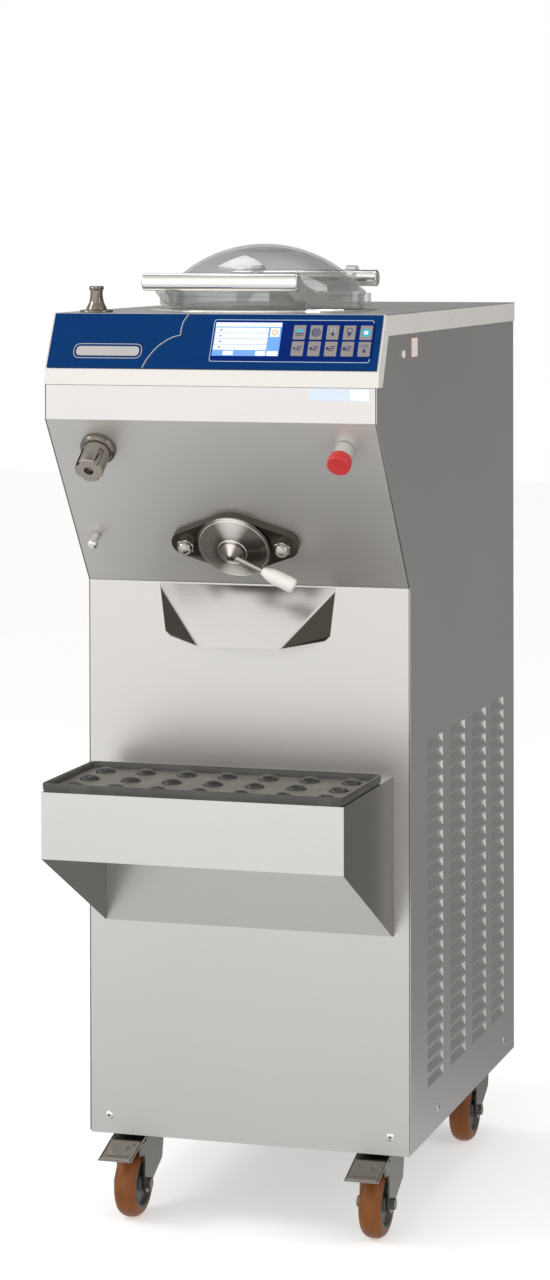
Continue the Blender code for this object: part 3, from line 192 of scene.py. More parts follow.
def steelFinish(name, look):
    n = newFinish(name)
    grain = n.noise(1.0, 3.0, look["grain"], 0.6)
    cloud = n.noise(3.5, 4.0)  # broad unevenness of the rolled sheet
    marks = n.smooth(n.noise(38.0, 6.0, (1, 1, 1), 0.7), 0.62, 0.80)  # faint handling marks
    tone, metal = look["tone"], 1.0
    colour = n.blend(grain * 0.25 + cloud * 0.50, dullOf(tone), tone)
    # painted light by position: the chosen area takes the entry's bright tone
    if "where" in look:
        spot = n.node("ShaderNodeSeparateXYZ", None, {0: n.place()}, "Z")
        if look["where"] == "chin":  # the upright band over the slanted face, given a painted highlight as a brighter tone
            paintedLightArea = n.smooth(spot, 1.1915, 1.1925)
        elif look["where"] == "lip":  # the folded sides of the cover are matt (less metallic), and a brighter tone is painted on them as painted highlight
            sideways = n.node("ShaderNodeSeparateXYZ", None, {0: n.place()}, "X")
            paintedLightArea = n.smooth(sideways * sideways, 0.0604, 0.0607) * (1 - n.smooth(spot, 1.3400, 1.3412))
            metal = 1 - paintedLightArea * 0.85
        elif look["where"] == "cheek":  # sides of the shelf, behind its apron: a dark tone painted on them as painted shade
            sideways = n.node("ShaderNodeSeparateXYZ", None, {0: n.place()}, "X")
            deep = n.node("ShaderNodeSeparateXYZ", None, {0: n.place()}, "Y")
            paintedLightArea = n.smooth(sideways * sideways, 0.04760, 0.04780) * n.smooth(deep, -0.4632, -0.4626)
            # painted shade: the back plate behind the shelf gets a darker tone, weaker higher up, standing in for the
            # shelf's shadow
            back = n.smooth(deep, -0.2042, -0.2030) * (1 - n.smooth(spot, 0.50, 0.66) * 0.4)
            colour = n.blend(back, colour, rgb(168, 167, 165))
        else:  # the flat of the deflector, apart from its folded wings, which keep the dark base tone as painted shade
            away = n.node("ShaderNodeVectorMath", {"operation": "DOT_PRODUCT"},
                          {0: n.place(), 1: deflector["out"]}, "Value")
            paintedLightArea = n.smooth(away - deflector["level"], -0.0030, -0.0018)
        colour = n.blend(paintedLightArea, colour, n.blend(grain * 0.4 + cloud * 0.45, dullOf(look["bright"]), look["bright"]))
    rough = grain * 0.08 + cloud * 0.08 + marks * 0.06 + (look["rough"] - 0.09)
    closeFinish(n, {"Base Color": colour, "Metallic": metal, "Roughness": rough,
                    "Normal": n.bump(grain, look["depth"], 0.0004)})


for name, look in steels.items():
    steelFinish(name, look)


polished = {"polishedSteel": (rgb(226, 224, 221), 0.07), "darkTurned": (rgb(92, 86, 80), 0.20),
            "nutSteel": (rgb(172, 167, 160), 0.10), "postSteel": (rgb(128, 122, 114), 0.12)}


def polishedFinish(name, tone, rough):
    n = newFinish(name)
    swirl = n.noise(260.0, 3.0)
    cloud = n.noise(14.0, 3.0)
    colour = n.blend(cloud, dullOf(tone, 0.93), tone)
    closeFinish(n, {"Base Color": colour, "Metallic": 1.0, "Roughness": swirl * 0.06 + cloud * 0.04 + rough,
                    "Normal": n.bump(swirl, 0.02, 0.0003)})


for name, (tone, rough) in polished.items():
    polishedFinish(name, tone, rough)


def turnedFinish():  # turned face: painted highlight in two opposite sectors, darker between them, standing in for the turned metal's reflection; fine rings from the tool
    n = newFinish("turnedSteel")
    centre = slantTop - slantUp * outlet["down"]
    local = n.node("ShaderNodeVectorMath", {"operation": "SUBTRACT"}, {0: n.place(), 1: tuple(centre)})

    def along(way):
        return n.node("ShaderNodeVectorMath", {"operation": "DOT_PRODUCT"}, {0: local, 1: tuple(way)}, "Value")

    across, up, out = along(acrossX), along(slantUp), along(slantOut)
    radius = (across * across + up * up + 0.0000001) ** 0.5
    lean = (up * 0.96 + across * 0.10) / radius
    paintedHighlightSector = n.smooth(lean * lean, 0.62, 0.99)
    ringing = n.noise(1.0, 2.0, (1, 1, 1))
    rings = n.node("ShaderNodeMath", {"operation": "SINE"}, {0: radius * 9000.0}) * 0.5 + 0.5
    tone = n.blend(paintedHighlightSector, rgb(88, 82, 75), rgb(226, 223, 218))
    # painted highlight: two thin bright rings, at the rim step and near the hub
    lines = n.smooth(0.0006 - abs(radius - 0.0508), 0.0, 0.0003) + n.smooth(0.0006 - abs(radius - 0.0215), 0.0, 0.0003)
    tone = n.blend(lines * 0.7, tone, rgb(236, 234, 230))
    closeFinish(n, {"Base Color": n.blend(rings * 0.25 + ringing * 0.2, tone, rgb(150, 144, 137)), "Metallic": 1.0,
                    "Roughness": rings * 0.06 + 0.22, "Normal": n.bump(rings, 0.04, 0.0002)})


def plasticFinish(name, tone, rough, coat=0.0, grainSize=180.0, glow=0.0):
    n = newFinish(name)
    grain = n.noise(grainSize, 4.0)
    cloud = n.noise(9.0, 3.0)
    colour = n.blend(cloud * 0.7 + grain * 0.3, dullOf(tone, 0.88), tone)
    sockets = {"Base Color": colour, "Roughness": grain * 0.10 + cloud * 0.05 + (rough - 0.07),
               "Normal": n.bump(grain, 0.05, 0.0004), "Coat Weight": coat, "Coat Roughness": 0.08,
               "Specular IOR Level": 0.05 if "fascia" in name else 0.5}
    if glow:
        sockets["Emission Color"] = colour
        sockets["Emission Strength"] = glow
    closeFinish(n, sockets)


plastics = {
    "fasciaBlue": (rgb(1, 50, 104), 0.52, 0.0), "fasciaDeep": (rgb(0, 34, 104), 0.52, 0.0),
    "stopRed": (rgb(192, 30, 30), 0.34, 0.25), "gripWhite": (rgb(232, 230, 225), 0.34, 0.3),
    "bladeWhite": (rgb(228, 226, 220), 0.40, 0.0), "sealBlack": (rgb(30, 30, 30), 0.60, 0.0),
    "motorGrey": (rgb(112, 113, 116), 0.55, 0.0), "compressorBlack": (rgb(34, 34, 34), 0.35, 0.2),
    "fanBlack": (rgb(34, 34, 35), 0.55, 0.0), "hubGrey": (rgb(66, 68, 66), 0.45, 0.1),
    "keyGrey": (rgb(133, 128, 125), 0.50, 0.0), "inkNavy": (rgb(20, 34, 92), 0.50, 0.0),
    "inkCyan": (rgb(24, 170, 205), 0.45, 0.0), "linePale": (rgb(172, 190, 205), 0.40, 0.0),
    "lineDark": (rgb(14, 26, 74), 0.45, 0.0), "badgeSilver": (rgb(176, 172, 170), 0.35, 0.2),
    "stickerWhite": (rgb(232, 230, 226), 0.50, 0.0), "stickerRed": (rgb(200, 60, 56), 0.50, 0.0),
    "stripBlue": (rgb(206, 219, 232), 0.40, 0.2), "stripPale": (rgb(232, 236, 240), 0.40, 0.2),
}
for name, (tone, rough, coat) in plastics.items():
    plasticFinish(name, tone, rough, coat)
for name, tone in {"litBlue": rgb(92, 142, 226), "litPale": rgb(214, 220, 246), "litRow": rgb(206, 214, 240),
                   "litCream": rgb(232, 226, 200), "litRed": rgb(222, 80, 70), "litInk": rgb(104, 118, 176),
                   "litLine": rgb(140, 156, 205)}.items():
    plasticFinish(name, tone, 0.22, 0.0, 60.0, 0.42)


def rubberFinish(name, tone, lighter, rough):
    n = newFinish(name)
    grain = n.noise(420.0, 5.0)
    dust = n.smooth(n.noise(26.0, 5.0), 0.45, 0.75)
    closeFinish(n, {"Base Color": n.blend(dust * 0.5 + grain * 0.25, tone, lighter),
                    "Roughness": rough + grain * 0.14, "Normal": n.bump(grain, 0.22, 0.0005)})


# one moulded black rubber as lit and shaded copies: the floor painted lighter as painted sheen, the domes painted
# darker as painted shade, the rim in between
rubberFinish("matRubber", rgb(96, 92, 86), rgb(124, 119, 111), 0.40)
rubberFinish("matDome", rgb(38, 36, 33), rgb(62, 59, 54), 0.26)
rubberFinish("matRim", rgb(56, 54, 51), rgb(84, 81, 76), 0.36)


def treadFinish():  # amber polyurethane: tone varies in clouds, scuffed where it rolls
    n = newFinish("treadAmber")
    cloud = n.noise(22.0, 4.0)
    scuff = n.smooth(n.noise(70.0, 6.0), 0.52, 0.75)
    tone = n.blend(cloud, rgb(96, 54, 22), rgb(146, 84, 30))
    closeFinish(n, {"Base Color": n.blend(scuff * 0.35, tone, rgb(84, 56, 40)), "Roughness": scuff * 0.15 + 0.42,
                    "Normal": n.bump(cloud, 0.05, 0.001), "Specular IOR Level": 0.30})


def lidFinish(name, tone, alpha, rough):
    n = newFinish(name)
    haze = n.noise(12.0, 4.0)
    wipe = n.smooth(n.noise(60.0, 5.0, (1, 1, 4)), 0.55, 0.78)  # wiping marks
    # painted shade: the shell is made more opaque where it is seen edge-on, standing in for the darker edges that
    # reflection and refraction give clear plastic
    edge = n.node("ShaderNodeLayerWeight", None, {"Blend": 0.35}, "Facing")
    closeFinish(n, {"Base Color": n.blend(haze, dullOf(tone, 0.85), tone), "Roughness": wipe * 0.10 + rough,
                    "Alpha": haze * 0.08 + edge * 0.50 + alpha, "IOR": 1.49, "Coat Weight": 0.8,
                    "Coat Roughness": 0.03})


def finsFinish():
    n = newFinish("condenserFins")
    # painted shade: dark bands stand in for the shade in the gaps between fins, light bands for the lit fin faces
    wave = n.node("ShaderNodeTexWave", {"wave_type": "BANDS", "bands_direction": "X"},
                  {"Vector": n.place(), "Scale": 140.0, "Distortion": 0.3})
    closeFinish(n, {"Base Color": n.blend(wave, rgb(90, 88, 84), rgb(178, 176, 170)), "Metallic": 0.9,
                    "Roughness": wave * 0.2 + 0.3, "Normal": n.bump(wave, 0.6, 0.001)})


treadFinish()
finsFinish()
lidFinish("lidClear", rgb(150, 151, 149), 0.07, 0.02)
lidFinish("lidEdge", rgb(168, 169, 167), 0.26, 0.04)
print("finishes made:", len(finishes))


# shape helpers; every shape is a bmesh that is put in place and turned into an object by addPiece
def addPiece(name, shape, finish, body, place=None, bevel=0.0, sharp=35, replaces=()):
    if place is not None:
        bmesh.ops.transform(shape, matrix=place, verts=shape.verts)
    bmesh.ops.remove_doubles(shape, verts=shape.verts, dist=0.000002)
    bmesh.ops.recalc_face_normals(shape, faces=shape.faces)
    mesh = bpy.data.meshes.new(name)
    shape.to_mesh(mesh)
    shape.free()
    mesh.shade_smooth()
    mesh.set_sharp_from_angle(angle=math.radians(sharp))
    mesh.materials.append(finishes[finish])
    piece = bpy.data.objects.new(name, mesh)
    scene.collection.objects.link(piece)
    if bevel:
        edge = piece.modifiers.new("edges", "BEVEL")
        edge.width, edge.segments, edge.limit_method = bevel, 2, "ANGLE"
        edge.angle_limit, edge.harden_normals = math.radians(40), True
    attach(piece, body)
    if replaces:
        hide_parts(*replaces)
    return piece


def rounded(points, radius, steps=4, closed=False):  # rounds the corners of a line of points
    result, count = [], len(points)
    for i, corner in enumerate(points):
        corner = Vector(corner)
        if not closed and i in (0, count - 1):
            result.append(tuple(corner))
            continue
        before, after = Vector(points[i - 1]), Vector(points[(i + 1) % count])
        toBefore, toAfter = before - corner, after - corner
        cut = min(radius, toBefore.length * 0.45, toAfter.length * 0.45)
        start, end = corner + toBefore.normalized() * cut, corner + toAfter.normalized() * cut
        for k in range(steps + 1):
            t = k / steps
            result.append(tuple(start * (1 - t) ** 2 + corner * 2 * t * (1 - t) + end * t ** 2))
    return result


def lathe(profile, sides=72, start=0.0):  # profile of (radius, height) round z
    shape, rings = bmesh.new(), []
    for radius, height in profile:
        if radius < 1e-6:
            rings.append([shape.verts.new((0, 0, height))])
        else:
            turns = [start + 2 * math.pi * k / sides for k in range(sides)]
            rings.append([shape.verts.new((radius * math.cos(a), radius * math.sin(a), height)) for a in turns])
    for low, high in zip(rings, rings[1:]):
        for k in range(sides):
            corners = [low[k % len(low)], low[(k + 1) % len(low)], high[(k + 1) % len(high)], high[k % len(high)]]
            corners = list(dict.fromkeys(corners))
            if len(corners) > 2 and shape.faces.get(corners) is None:
                shape.faces.new(corners)
    return shape


def addTo(shape, other, place=None):
    if place is not None:
        bmesh.ops.transform(other, matrix=place, verts=other.verts)
    mesh = bpy.data.meshes.new("joined")
    other.to_mesh(mesh)
    other.free()
    shape.from_mesh(mesh)
    bpy.data.meshes.remove(mesh)
    return shape


def block(low, high):
    shape = bmesh.new()
    bmesh.ops.create_cube(shape, size=1.0)
    size = Vector(high) - Vector(low)
    middle = (Vector(high) + Vector(low)) / 2
    bmesh.ops.transform(shape, matrix=Matrix.Translation(middle) @ Matrix.Diagonal((*size, 1)), verts=shape.verts)
    return shape


def flat(loops, low, high):  # filled outline with holes, between two heights
    curve = bpy.data.curves.new("flat", "CURVE")
    curve.dimensions, curve.fill_mode, curve.extrude = "2D", "BOTH", (high - low) / 2
    for loop in loops:
        line = curve.splines.new("POLY")
        line.points.add(len(loop) - 1)
        for point, (x, y) in zip(line.points, loop):
            point.co = (x * 10, y * 10, 0, 1)  # ten times larger while it is filled
        line.use_cyclic_u = True
    curve.extrude *= 10
    holder = bpy.data.objects.new("flat", curve)
    scene.collection.objects.link(holder)
    bpy.context.view_layer.update()
    mesh = bpy.data.meshes.new_from_object(holder.evaluated_get(bpy.context.evaluated_depsgraph_get()))
    shape = bmesh.new()
    shape.from_mesh(mesh)
    bpy.data.objects.remove(holder)
    bpy.data.curves.remove(curve)
    bpy.data.meshes.remove(mesh)
    move = Matrix.Translation((0, 0, (low + high) / 2)) @ Matrix.Scale(0.1, 4)
    bmesh.ops.transform(shape, matrix=move, verts=shape.verts)
    bmesh.ops.remove_doubles(shape, verts=shape.verts, dist=0.000002)
    return shape


def ribbon(points, width, low, high):  # thin raised line along points in the plane
    left, right = [], []
    for i, point in enumerate(points):
        before = Vector(points[max(i - 1, 0)])
        after = Vector(points[min(i + 1, len(points) - 1)])
        along = (after - before).normalized()
        side = Vector((-along.y, along.x)) * width / 2
        left.append(tuple(Vector(point) + side))
        right.append(tuple(Vector(point) - side))
    return flat([left + right[::-1]], low, high)


def frameAt(origin, right, up, out):
    turn = Matrix((right, up, out)).transposed().to_4x4()
    return Matrix.Translation(origin) @ turn


visorFoot = Vector((0, -0.3363, 1.342))
visorUp, visorOut = Vector((0, 0.4554, 0.8903)), Vector((0, -0.8903, 0.4554))
slantTop = Vector((0, -0.381, 1.192))
slantUp, slantOut = Vector((0, -0.59264, 0.80547)), Vector((0, -0.80547, -0.59264))
acrossX = Vector((1, 0, 0))


def onVisor(across=0.0, down=0.0, out=0.0):
    return frameAt(visorFoot + acrossX * across - visorUp * down + visorOut * out, acrossX, visorUp, visorOut)


def onSlant(across=0.0, down=0.0, out=0.0):
    return frameAt(slantTop + acrossX * across - slantUp * down + slantOut * out, acrossX, slantUp, slantOut)


def onFront(x, z, y=-0.2):
    return frameAt(Vector((x, y, z)), acrossX, Vector((0, 0, 1)), Vector((0, -1, 0)))


def onSide(side, y, z):  # outer face of a side panel; across runs to the right as it is looked at
    x = sideFace * side
    return frameAt(Vector((x, y, z)), Vector((0, side, 0)), Vector((0, 0, 1)), Vector((side, 0, 0)))


def rect(left, top, right, bottom, radius=0.0):  # across and down, as loops are drawn with y up
    points = [(left, -top), (right, -top), (right, -bottom), (left, -bottom)]
    return rounded(points, radius, 4, True) if radius else points


# side panels with pressed louvres
louvre = {"starts": (-0.102, 0.037, 0.176, 0.305), "lengths": (0.094, 0.094, 0.092, 0.086), "low": 0.2030,
          "pitch": 0.0206, "count": 25, "height": 0.0145, "depth": 0.0075, "endSlope": 0.0035, "corner": 0.0025}
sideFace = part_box("right_panel")[1].x
sideInner = sideFace - 0.0010
sideOutline = [(-0.2, 0.130), (0.4652, 0.130), (0.4652, 1.3402), (-0.334, 1.3402), (-0.374, 1.2636),
               (-0.379, 1.2409), (-0.381, 1.2409), (-0.381, 1.192), (-0.2, 0.946)]


def louvreLoop(start, length, low):
    height = louvre["height"]
    corners = [(start, low), (start + length, low), (start + length, low + height), (start, low + height)]
    return rounded(corners, louvre["corner"], 3, True)


def sidePanel(side, name, node):
    holes, pockets = [], bmesh.new()
    for start, length in zip(louvre["starts"], louvre["lengths"]):
        for k in range(louvre["count"]):
            low = louvre["low"] + k * louvre["pitch"]
            loop = louvreLoop(start, length, low)
            holes.append(loop)
            middle, high = start + length / 2, low + louvre["height"]
            outer, inner = [], []
            for y, z in loop:
                part = (z - low) / louvre["height"]
                pull = louvre["endSlope"] * part * (1 if y < middle else -1)
                outer.append(pockets.verts.new((y, z, sideFace)))
                inner.append(pockets.verts.new((y + pull, z, sideFace - louvre["depth"] * part - 0.0002)))
            for i in range(len(loop)):
                j = (i + 1) % len(loop)
                if loop[i][1] > high - 0.0008 and loop[j][1] > high - 0.0008:
                    continue  # the slot along the top edge
                pockets.faces.new([outer[i], outer[j], inner[j], inner[i]])
            pockets.faces.new(inner)
    shape = addTo(flat([sideOutline] + holes, sideInner, sideFace), pockets)
    turn = Matrix(((0, 0, side, 0), (1, 0, 0, 0), (0, 1, 0, 0), (0, 0, 0, 1)))
    if side < 0:
        bmesh.ops.reverse_faces(shape, faces=shape.faces)
    bmesh.ops.transform(shape, matrix=turn, verts=shape.verts)
    addPiece(name, shape, "casingSteel", "machine", replaces=(node,), sharp=25)


sidePanel(1, "side_panel_right", "right_panel")
sidePanel(-1, "side_panel_left", "left_panel")
print("side panels made")


# screws: a low round head with a cross
screw = {"radius": 0.0062, "height": 0.0022, "cross": 0.0062, "slot": 0.0013}
screwPlaces = [onFront(x, 0.154) for x in (-0.2145, 0.2145)]
screwPlaces += [onSide(side, y, z) for side in (-1, 1) for y, z in ((-0.042, 0.160), (0.392, 0.158))]


def screwHead(place, name):
    r, h = screw["radius"], screw["height"]
    profile = [(r, 0)] + [(r * math.cos(a), h * (0.35 + 0.65 * math.sin(a))) for a in (0, 0.4, 0.8, 1.2)] + [(0, h)]
    addPiece(name, lathe(profile, 32), "polishedSteel", "machine", place)
    half, slot = screw["cross"] / 2, screw["slot"] / 2
    cross = [(-half, -slot), (-slot, -slot), (-slot, -half), (slot, -half), (slot, -slot), (half, -slot),
             (half, slot), (slot, slot), (slot, half), (-slot, half), (-slot, slot), (-half, slot)]
    addPiece(name + "_cross", flat([cross], h * 0.6, h + 0.0001), "sealBlack", "machine", place)


for i, place in enumerate(screwPlaces):
    screwHead(place, f"screw_{i}")


# control strip: printing on the fascia
fascia = {"face": 0.0023, "print": 0.00018, "outline": (-0.002, 0.010, 0.232, 0.0755), "line": 0.0009}


def printed(name, loops, finish, body="machine", low=None, thick=None, place=None):
    low = fascia["face"] if low is None else low
    thick = thick or fascia["print"]
    return addPiece(name, flat(loops, low - 0.0001, low + thick), finish, body, place or onVisor())


left, top, right, bottom = fascia["outline"]
printed("fascia_window", [rect(left, top, right, bottom, 0.004)], "fasciaDeep", thick=0.00012)
line = fascia["line"]
printed("fascia_outline", [rect(left, top, right, bottom, 0.004),
                           rect(left + line, top + line, right - line, bottom - line, 0.0035)], "linePale")
curvePoints = [(-0.0425, -0.0025), (-0.0485, -0.0135), (-0.0500, -0.022), (-0.0500, -0.035)]
arc = [(-0.0500, -0.035), (-0.060, -0.0375), (-0.0705, -0.0435), (-0.081, -0.0525), (-0.089, -0.063),
       (-0.0955, -0.0745), (-0.0995, -0.0860)]
swoosh = rounded(curvePoints, 0.005, 5) + rounded(arc, 0.006, 5)[1:]
shade = [(x + 0.0026, y - 0.0010) for x, y in swoosh]
printed("fascia_swoosh_shade", [shade + swoosh[::-1]], "lineDark", thick=0.0001)
addPiece("fascia_swoosh", ribbon(swoosh, 0.0010, fascia["face"] - 0.0001, fascia["face"] + 0.0002), "linePale",
         "machine", onVisor())
badge = {"left": -0.2065, "right": -0.1035, "top": 0.049, "bottom": 0.072}
printed("badge_edge", [rect(badge["left"], badge["top"], badge["right"], badge["bottom"], 0.0115),
                       rect(badge["left"] + 0.001, badge["top"] + 0.001, badge["right"] - 0.001,
                            badge["bottom"] - 0.001, 0.0105)], "badgeSilver")
printed("badge_plate", [rect(badge["left"] + 0.0042, badge["top"] + 0.0042, badge["right"] - 0.0042,
                             badge["bottom"] - 0.0042, 0.0073)], "badgeSilver")


# screen contents and keys
screen = {"face": 0.0029, "rows": 4, "rowTop": 0.0228, "rowPitch": 0.0088, "rowHeight": 0.0080}


def lit(name, loops, finish, layer=1):
    printed(name, loops, finish, low=screen["face"] + 0.0001 * (layer - 1), thick=0.00012)


lit("screen_bar", [rect(0.0015, 0.0150, 0.0985, 0.0212)], "litPale")
rows, marks, lines = [], [], []
for k in range(screen["rows"]):
    top = screen["rowTop"] + k * screen["rowPitch"]
    rows.append(rect(0.0020, top, 0.0800, top + screen["rowHeight"]))
    marks.append(rect(0.0085, top + 0.0030, 0.0120, top + 0.0052))
    lines.append(rect(0.0020, top + screen["rowHeight"] + 0.0001, 0.0800, top + screen["rowHeight"] + 0.0007))
lit("screen_rows", rows, "litRow")
lit("screen_marks", marks, "litInk", 2)
lit("screen_lines", lines, "litLine")
lit("screen_square", [rect(0.0830, 0.0232, 0.0965, 0.0368)], "litCream")
ring = [[(0.08975 + r * math.cos(a), -0.0300 + r * math.sin(a)) for a in
         [2 * math.pi * k / 28 for k in range(28)]] for r in (0.0042, 0.0031)]
lit("screen_ring", ring, "litRed", 2)
lit("screen_buttons", [rect(0.0170, 0.0590, 0.0320, 0.0655), rect(0.0650, 0.0590, 0.0795, 0.0660),
                       rect(0.0815, 0.0590, 0.0975, 0.0660)], "litPale")

keys = {"first": 0.1168, "width": 0.0176, "pitch": 0.0242, "rows": ((0.0185, 0.0405), (0.0435, 0.0660)),
        "lift": 0.00025}


def keyCentre(column, row):
    high, low = keys["rows"][row]
    return keys["first"] + column * keys["pitch"] + keys["width"] / 2, (high + low) / 2


caps = []
for column in range(5):
    for high, low in keys["rows"]:
        x = keys["first"] + column * keys["pitch"]
        caps.append(rect(x, high, x + keys["width"], low, 0.0012))
printed("key_caps", caps, "keyGrey", low=screen["face"], thick=keys["lift"])


def icon(name, loops, finish, layer=1):
    printed(name, loops, finish, low=screen["face"] + keys["lift"] + 0.00008 * (layer - 1), thick=0.00010)


def disc(x, down, radius, sides=28, turn=0.0):
    return [(x + radius * math.cos(turn + 2 * math.pi * k / sides),
             -down + radius * math.sin(turn + 2 * math.pi * k / sides)) for k in range(sides)]


def halfDisc(x, down, radius):
    return [(x + radius * math.cos(math.pi * k / 14), -down + radius * math.sin(math.pi * k / 14)) for k in range(15)]


def arrow(x, down, size):
    return [(x - size * 0.35, -down + size), (x + size * 0.35, -down + size), (x + size * 0.35, -down),
            (x + size, -down), (x, -down - size), (x - size, -down), (x - size * 0.35, -down)]


cx, cd = keyCentre(0, 0)
icon("icon_dome", [halfDisc(cx, cd - 0.0005, 0.0050)], "inkCyan")
icon("icon_dome_bars", [rect(cx - 0.006, cd + 0.0012, cx + 0.006, cd + 0.0026),
                        rect(cx - 0.006, cd + 0.0040, cx + 0.006, cd + 0.0052)], "inkNavy")
cx, cd = keyCentre(1, 0)
icon("icon_mesh", [disc(cx, cd, 0.0068), disc(cx, cd, 0.0060)], "inkNavy")
icon("icon_mesh_bars", [rect(cx - 0.0054 + 0.0022 * k, cd - 0.0050, cx - 0.0046 + 0.0022 * k, cd + 0.0050)
                        for k in range(5)], "inkNavy")
icon("icon_mesh_rows", [rect(cx - 0.0058, cd - 0.0040 + 0.0036 * k, cx + 0.0058, cd - 0.0032 + 0.0036 * k)
                        for k in range(3)], "inkNavy", 2)
cx, cd = keyCentre(2, 0)
icon("icon_pour", [arrow(cx, cd + 0.0020, 0.0036)], "inkNavy")
icon("icon_pour_ring", [disc(cx, cd - 0.0036, 0.0038), disc(cx, cd - 0.0036, 0.0032)], "linePale")
cx, cd = keyCentre(3, 0)
icon("icon_cone", [[(cx - 0.0036, -cd), (cx + 0.0036, -cd), (cx, -cd - 0.0072)]], "inkNavy")
icon("icon_cone_ring", [disc(cx, cd - 0.0034, 0.0042), disc(cx, cd - 0.0034, 0.0033)], "inkNavy")
cx, cd = keyCentre(4, 0)
icon("icon_stop", [disc(cx, cd, 0.0064)], "inkCyan")
icon("icon_stop_square", [rect(cx - 0.0028, cd - 0.0028, cx + 0.0028, cd + 0.0028, 0.0008)], "stickerWhite", 2)
for column in range(4):
    cx, cd = keyCentre(column, 1)
    bars = [rect(cx - 0.0008 - 0.0012 * k, cd - 0.0042 + 0.0028 * k,
                 cx + 0.0062 - 0.0012 * k, cd - 0.0028 + 0.0028 * k) for k in range(3)]
    icon(f"icon_level_{column}", bars + [disc(cx - 0.0048, cd - 0.0005, 0.0018 + 0.0003 * column)], "inkNavy")
cx, cd = keyCentre(4, 1)
icon("icon_down", [arrow(cx, cd + 0.0026, 0.0036)], "inkNavy")
icon("icon_down_lines", [rect(cx - 0.0060, cd - 0.0066, cx + 0.0060, cd - 0.0058),
                         rect(cx - 0.0052, cd - 0.0040, cx + 0.0052, cd - 0.0034)], "inkNavy")

# strip on the band under the fascia, sticker and plug on the right side
chin = {"y": -0.381, "left": 0.1464, "right": 0.2345, "low": 1.2235, "high": 1.2395}
onChin = frameAt(Vector((0, chin["y"], 0)), acrossX, Vector((0, 0, 1)), Vector((0, -1, 0)))
split = chin["left"] + 0.68 * (chin["right"] - chin["left"])
for name, a, b, finish in (("strip_left", chin["left"], split, "stripBlue"),
                           ("strip_right", split, chin["right"], "stripPale")):
    addPiece(name, flat([[(a, chin["low"]), (b, chin["low"]), (b, chin["high"]), (a, chin["high"])]], -0.0001, 0.0004),
             finish, "machine", onChin.copy())
addPiece("sticker_edge", flat([rect(-0.0185, -0.015, 0.0185, 0.015, 0.001)], 0, 0.0002), "stickerRed", "machine",
         onSide(1, -0.173, 1.291))
addPiece("sticker_face", flat([rect(-0.0172, -0.0137, 0.0172, 0.0137, 0.0008)], 0.0001, 0.0003), "stickerWhite",
         "machine", onSide(1, -0.173, 1.291))
plugProfile = rounded([(0.0055, 0), (0.0055, 0.0018), (0, 0.0022)], 0.0008)
addPiece("side_plug", lathe(plugProfile, 32), "stickerWhite", "machine", onSide(1, -0.236, 1.283))
print("control strip made")


# lid: clear dome, ring, lugs and arms
lid = {"axis": (0, -0.110), "centre": 1.248, "outer": 0.192, "inner": 0.188, "ring": 0.1475, "seat": 1.3458,
       "foot": 1.3722, "barZ": 1.3865, "front": -0.322, "hinge": 0.102, "bar": 0.0125}


def domeArc(radius, low, steps=22):  # from the top down to a height
    end = math.acos((low - lid["centre"]) / radius)
    return [(radius * math.sin(end * k / steps), lid["centre"] + radius * math.cos(end * k / steps))
            for k in range(steps + 1)]


def makeLid():
    axis = Matrix.Translation((*lid["axis"], 0))
    outer, inner = domeArc(lid["outer"], lid["foot"]), domeArc(lid["inner"], lid["foot"])
    addPiece("lid_shell", lathe(outer + inner[::-1], 120), "lidClear", "lid", axis,
             replaces=("lid_dome",))
    seat, foot, ring = lid["seat"], lid["foot"], lid["ring"]
    rim = [(0.1305, seat), (ring, seat), (ring, 1.3640), (0.1497, 1.3650), (0.1497, 1.3690), (ring, foot),
           (0.1430, foot), (0.1400, 1.3700), (0.1305, 1.3700), (0.1305, seat)]
    addPiece("lid_ring", lathe(rounded(rim, 0.0012), 120), "lidEdge", "lid", axis)
    disc = rounded([(0, 1.4285), (0.042, 1.4285), (0.0425, 1.4300), (0, 1.4300)], 0.0006)
    addPiece("lid_inner_disc", lathe(disc, 64), "lidEdge", "lid", axis)
    for side in (-1, 1):
        x = 0.1535 * side
        lug = block((x - 0.0075, -0.120, 1.3490), (x + 0.0075, -0.100, 1.3680))
        addPiece(f"lid_lug_{'left' if side < 0 else 'right'}", lug, "lidEdge", "lid", bevel=0.002)
    # arms are drawn in y and z, and stand across x
    cup, z = lid["bar"] * 0.86, lid["barZ"]
    front = [(-0.2130, 1.3480), (-0.2130, 1.3712), (-0.2600, 1.3800), (-0.2975, z + cup), (-0.3180, z + cup),
             (-0.3130, z), (-0.3180, z - cup), (-0.2975, z - cup - 0.002), (-0.2620, 1.3560)]
    hinge = lid["hinge"]
    eye = [(hinge + 0.0195 * math.cos(math.radians(d)), z + 0.0195 * math.sin(math.radians(d)))
           for d in range(-150, 151, 15)]
    back = [(0.0130, 1.3480)] + eye + [(0.0130, 1.3712)]
    hole = [(hinge + 0.0130 * math.cos(math.radians(d)), z + 0.0130 * math.sin(math.radians(d)))
            for d in range(0, 360, 15)]
    turn = Matrix(((0, 0, 1, 0), (1, 0, 0, 0), (0, 1, 0, 0), (0, 0, 0, 1)))
    for side, label in ((-1, "left"), (1, "right")):
        addPiece(f"lid_arm_front_{label}", flat([rounded(front, 0.003, 3, True)], -0.008, 0.008), "lidEdge", "lid",
                 Matrix.Translation((0.100 * side, 0, 0)) @ turn, bevel=0.0015)
        addPiece(f"lid_arm_back_{label}", flat([back, hole], -0.008, 0.008), "lidEdge", "lid",
                 Matrix.Translation((0.075 * side, 0, 0)) @ turn, bevel=0.001)


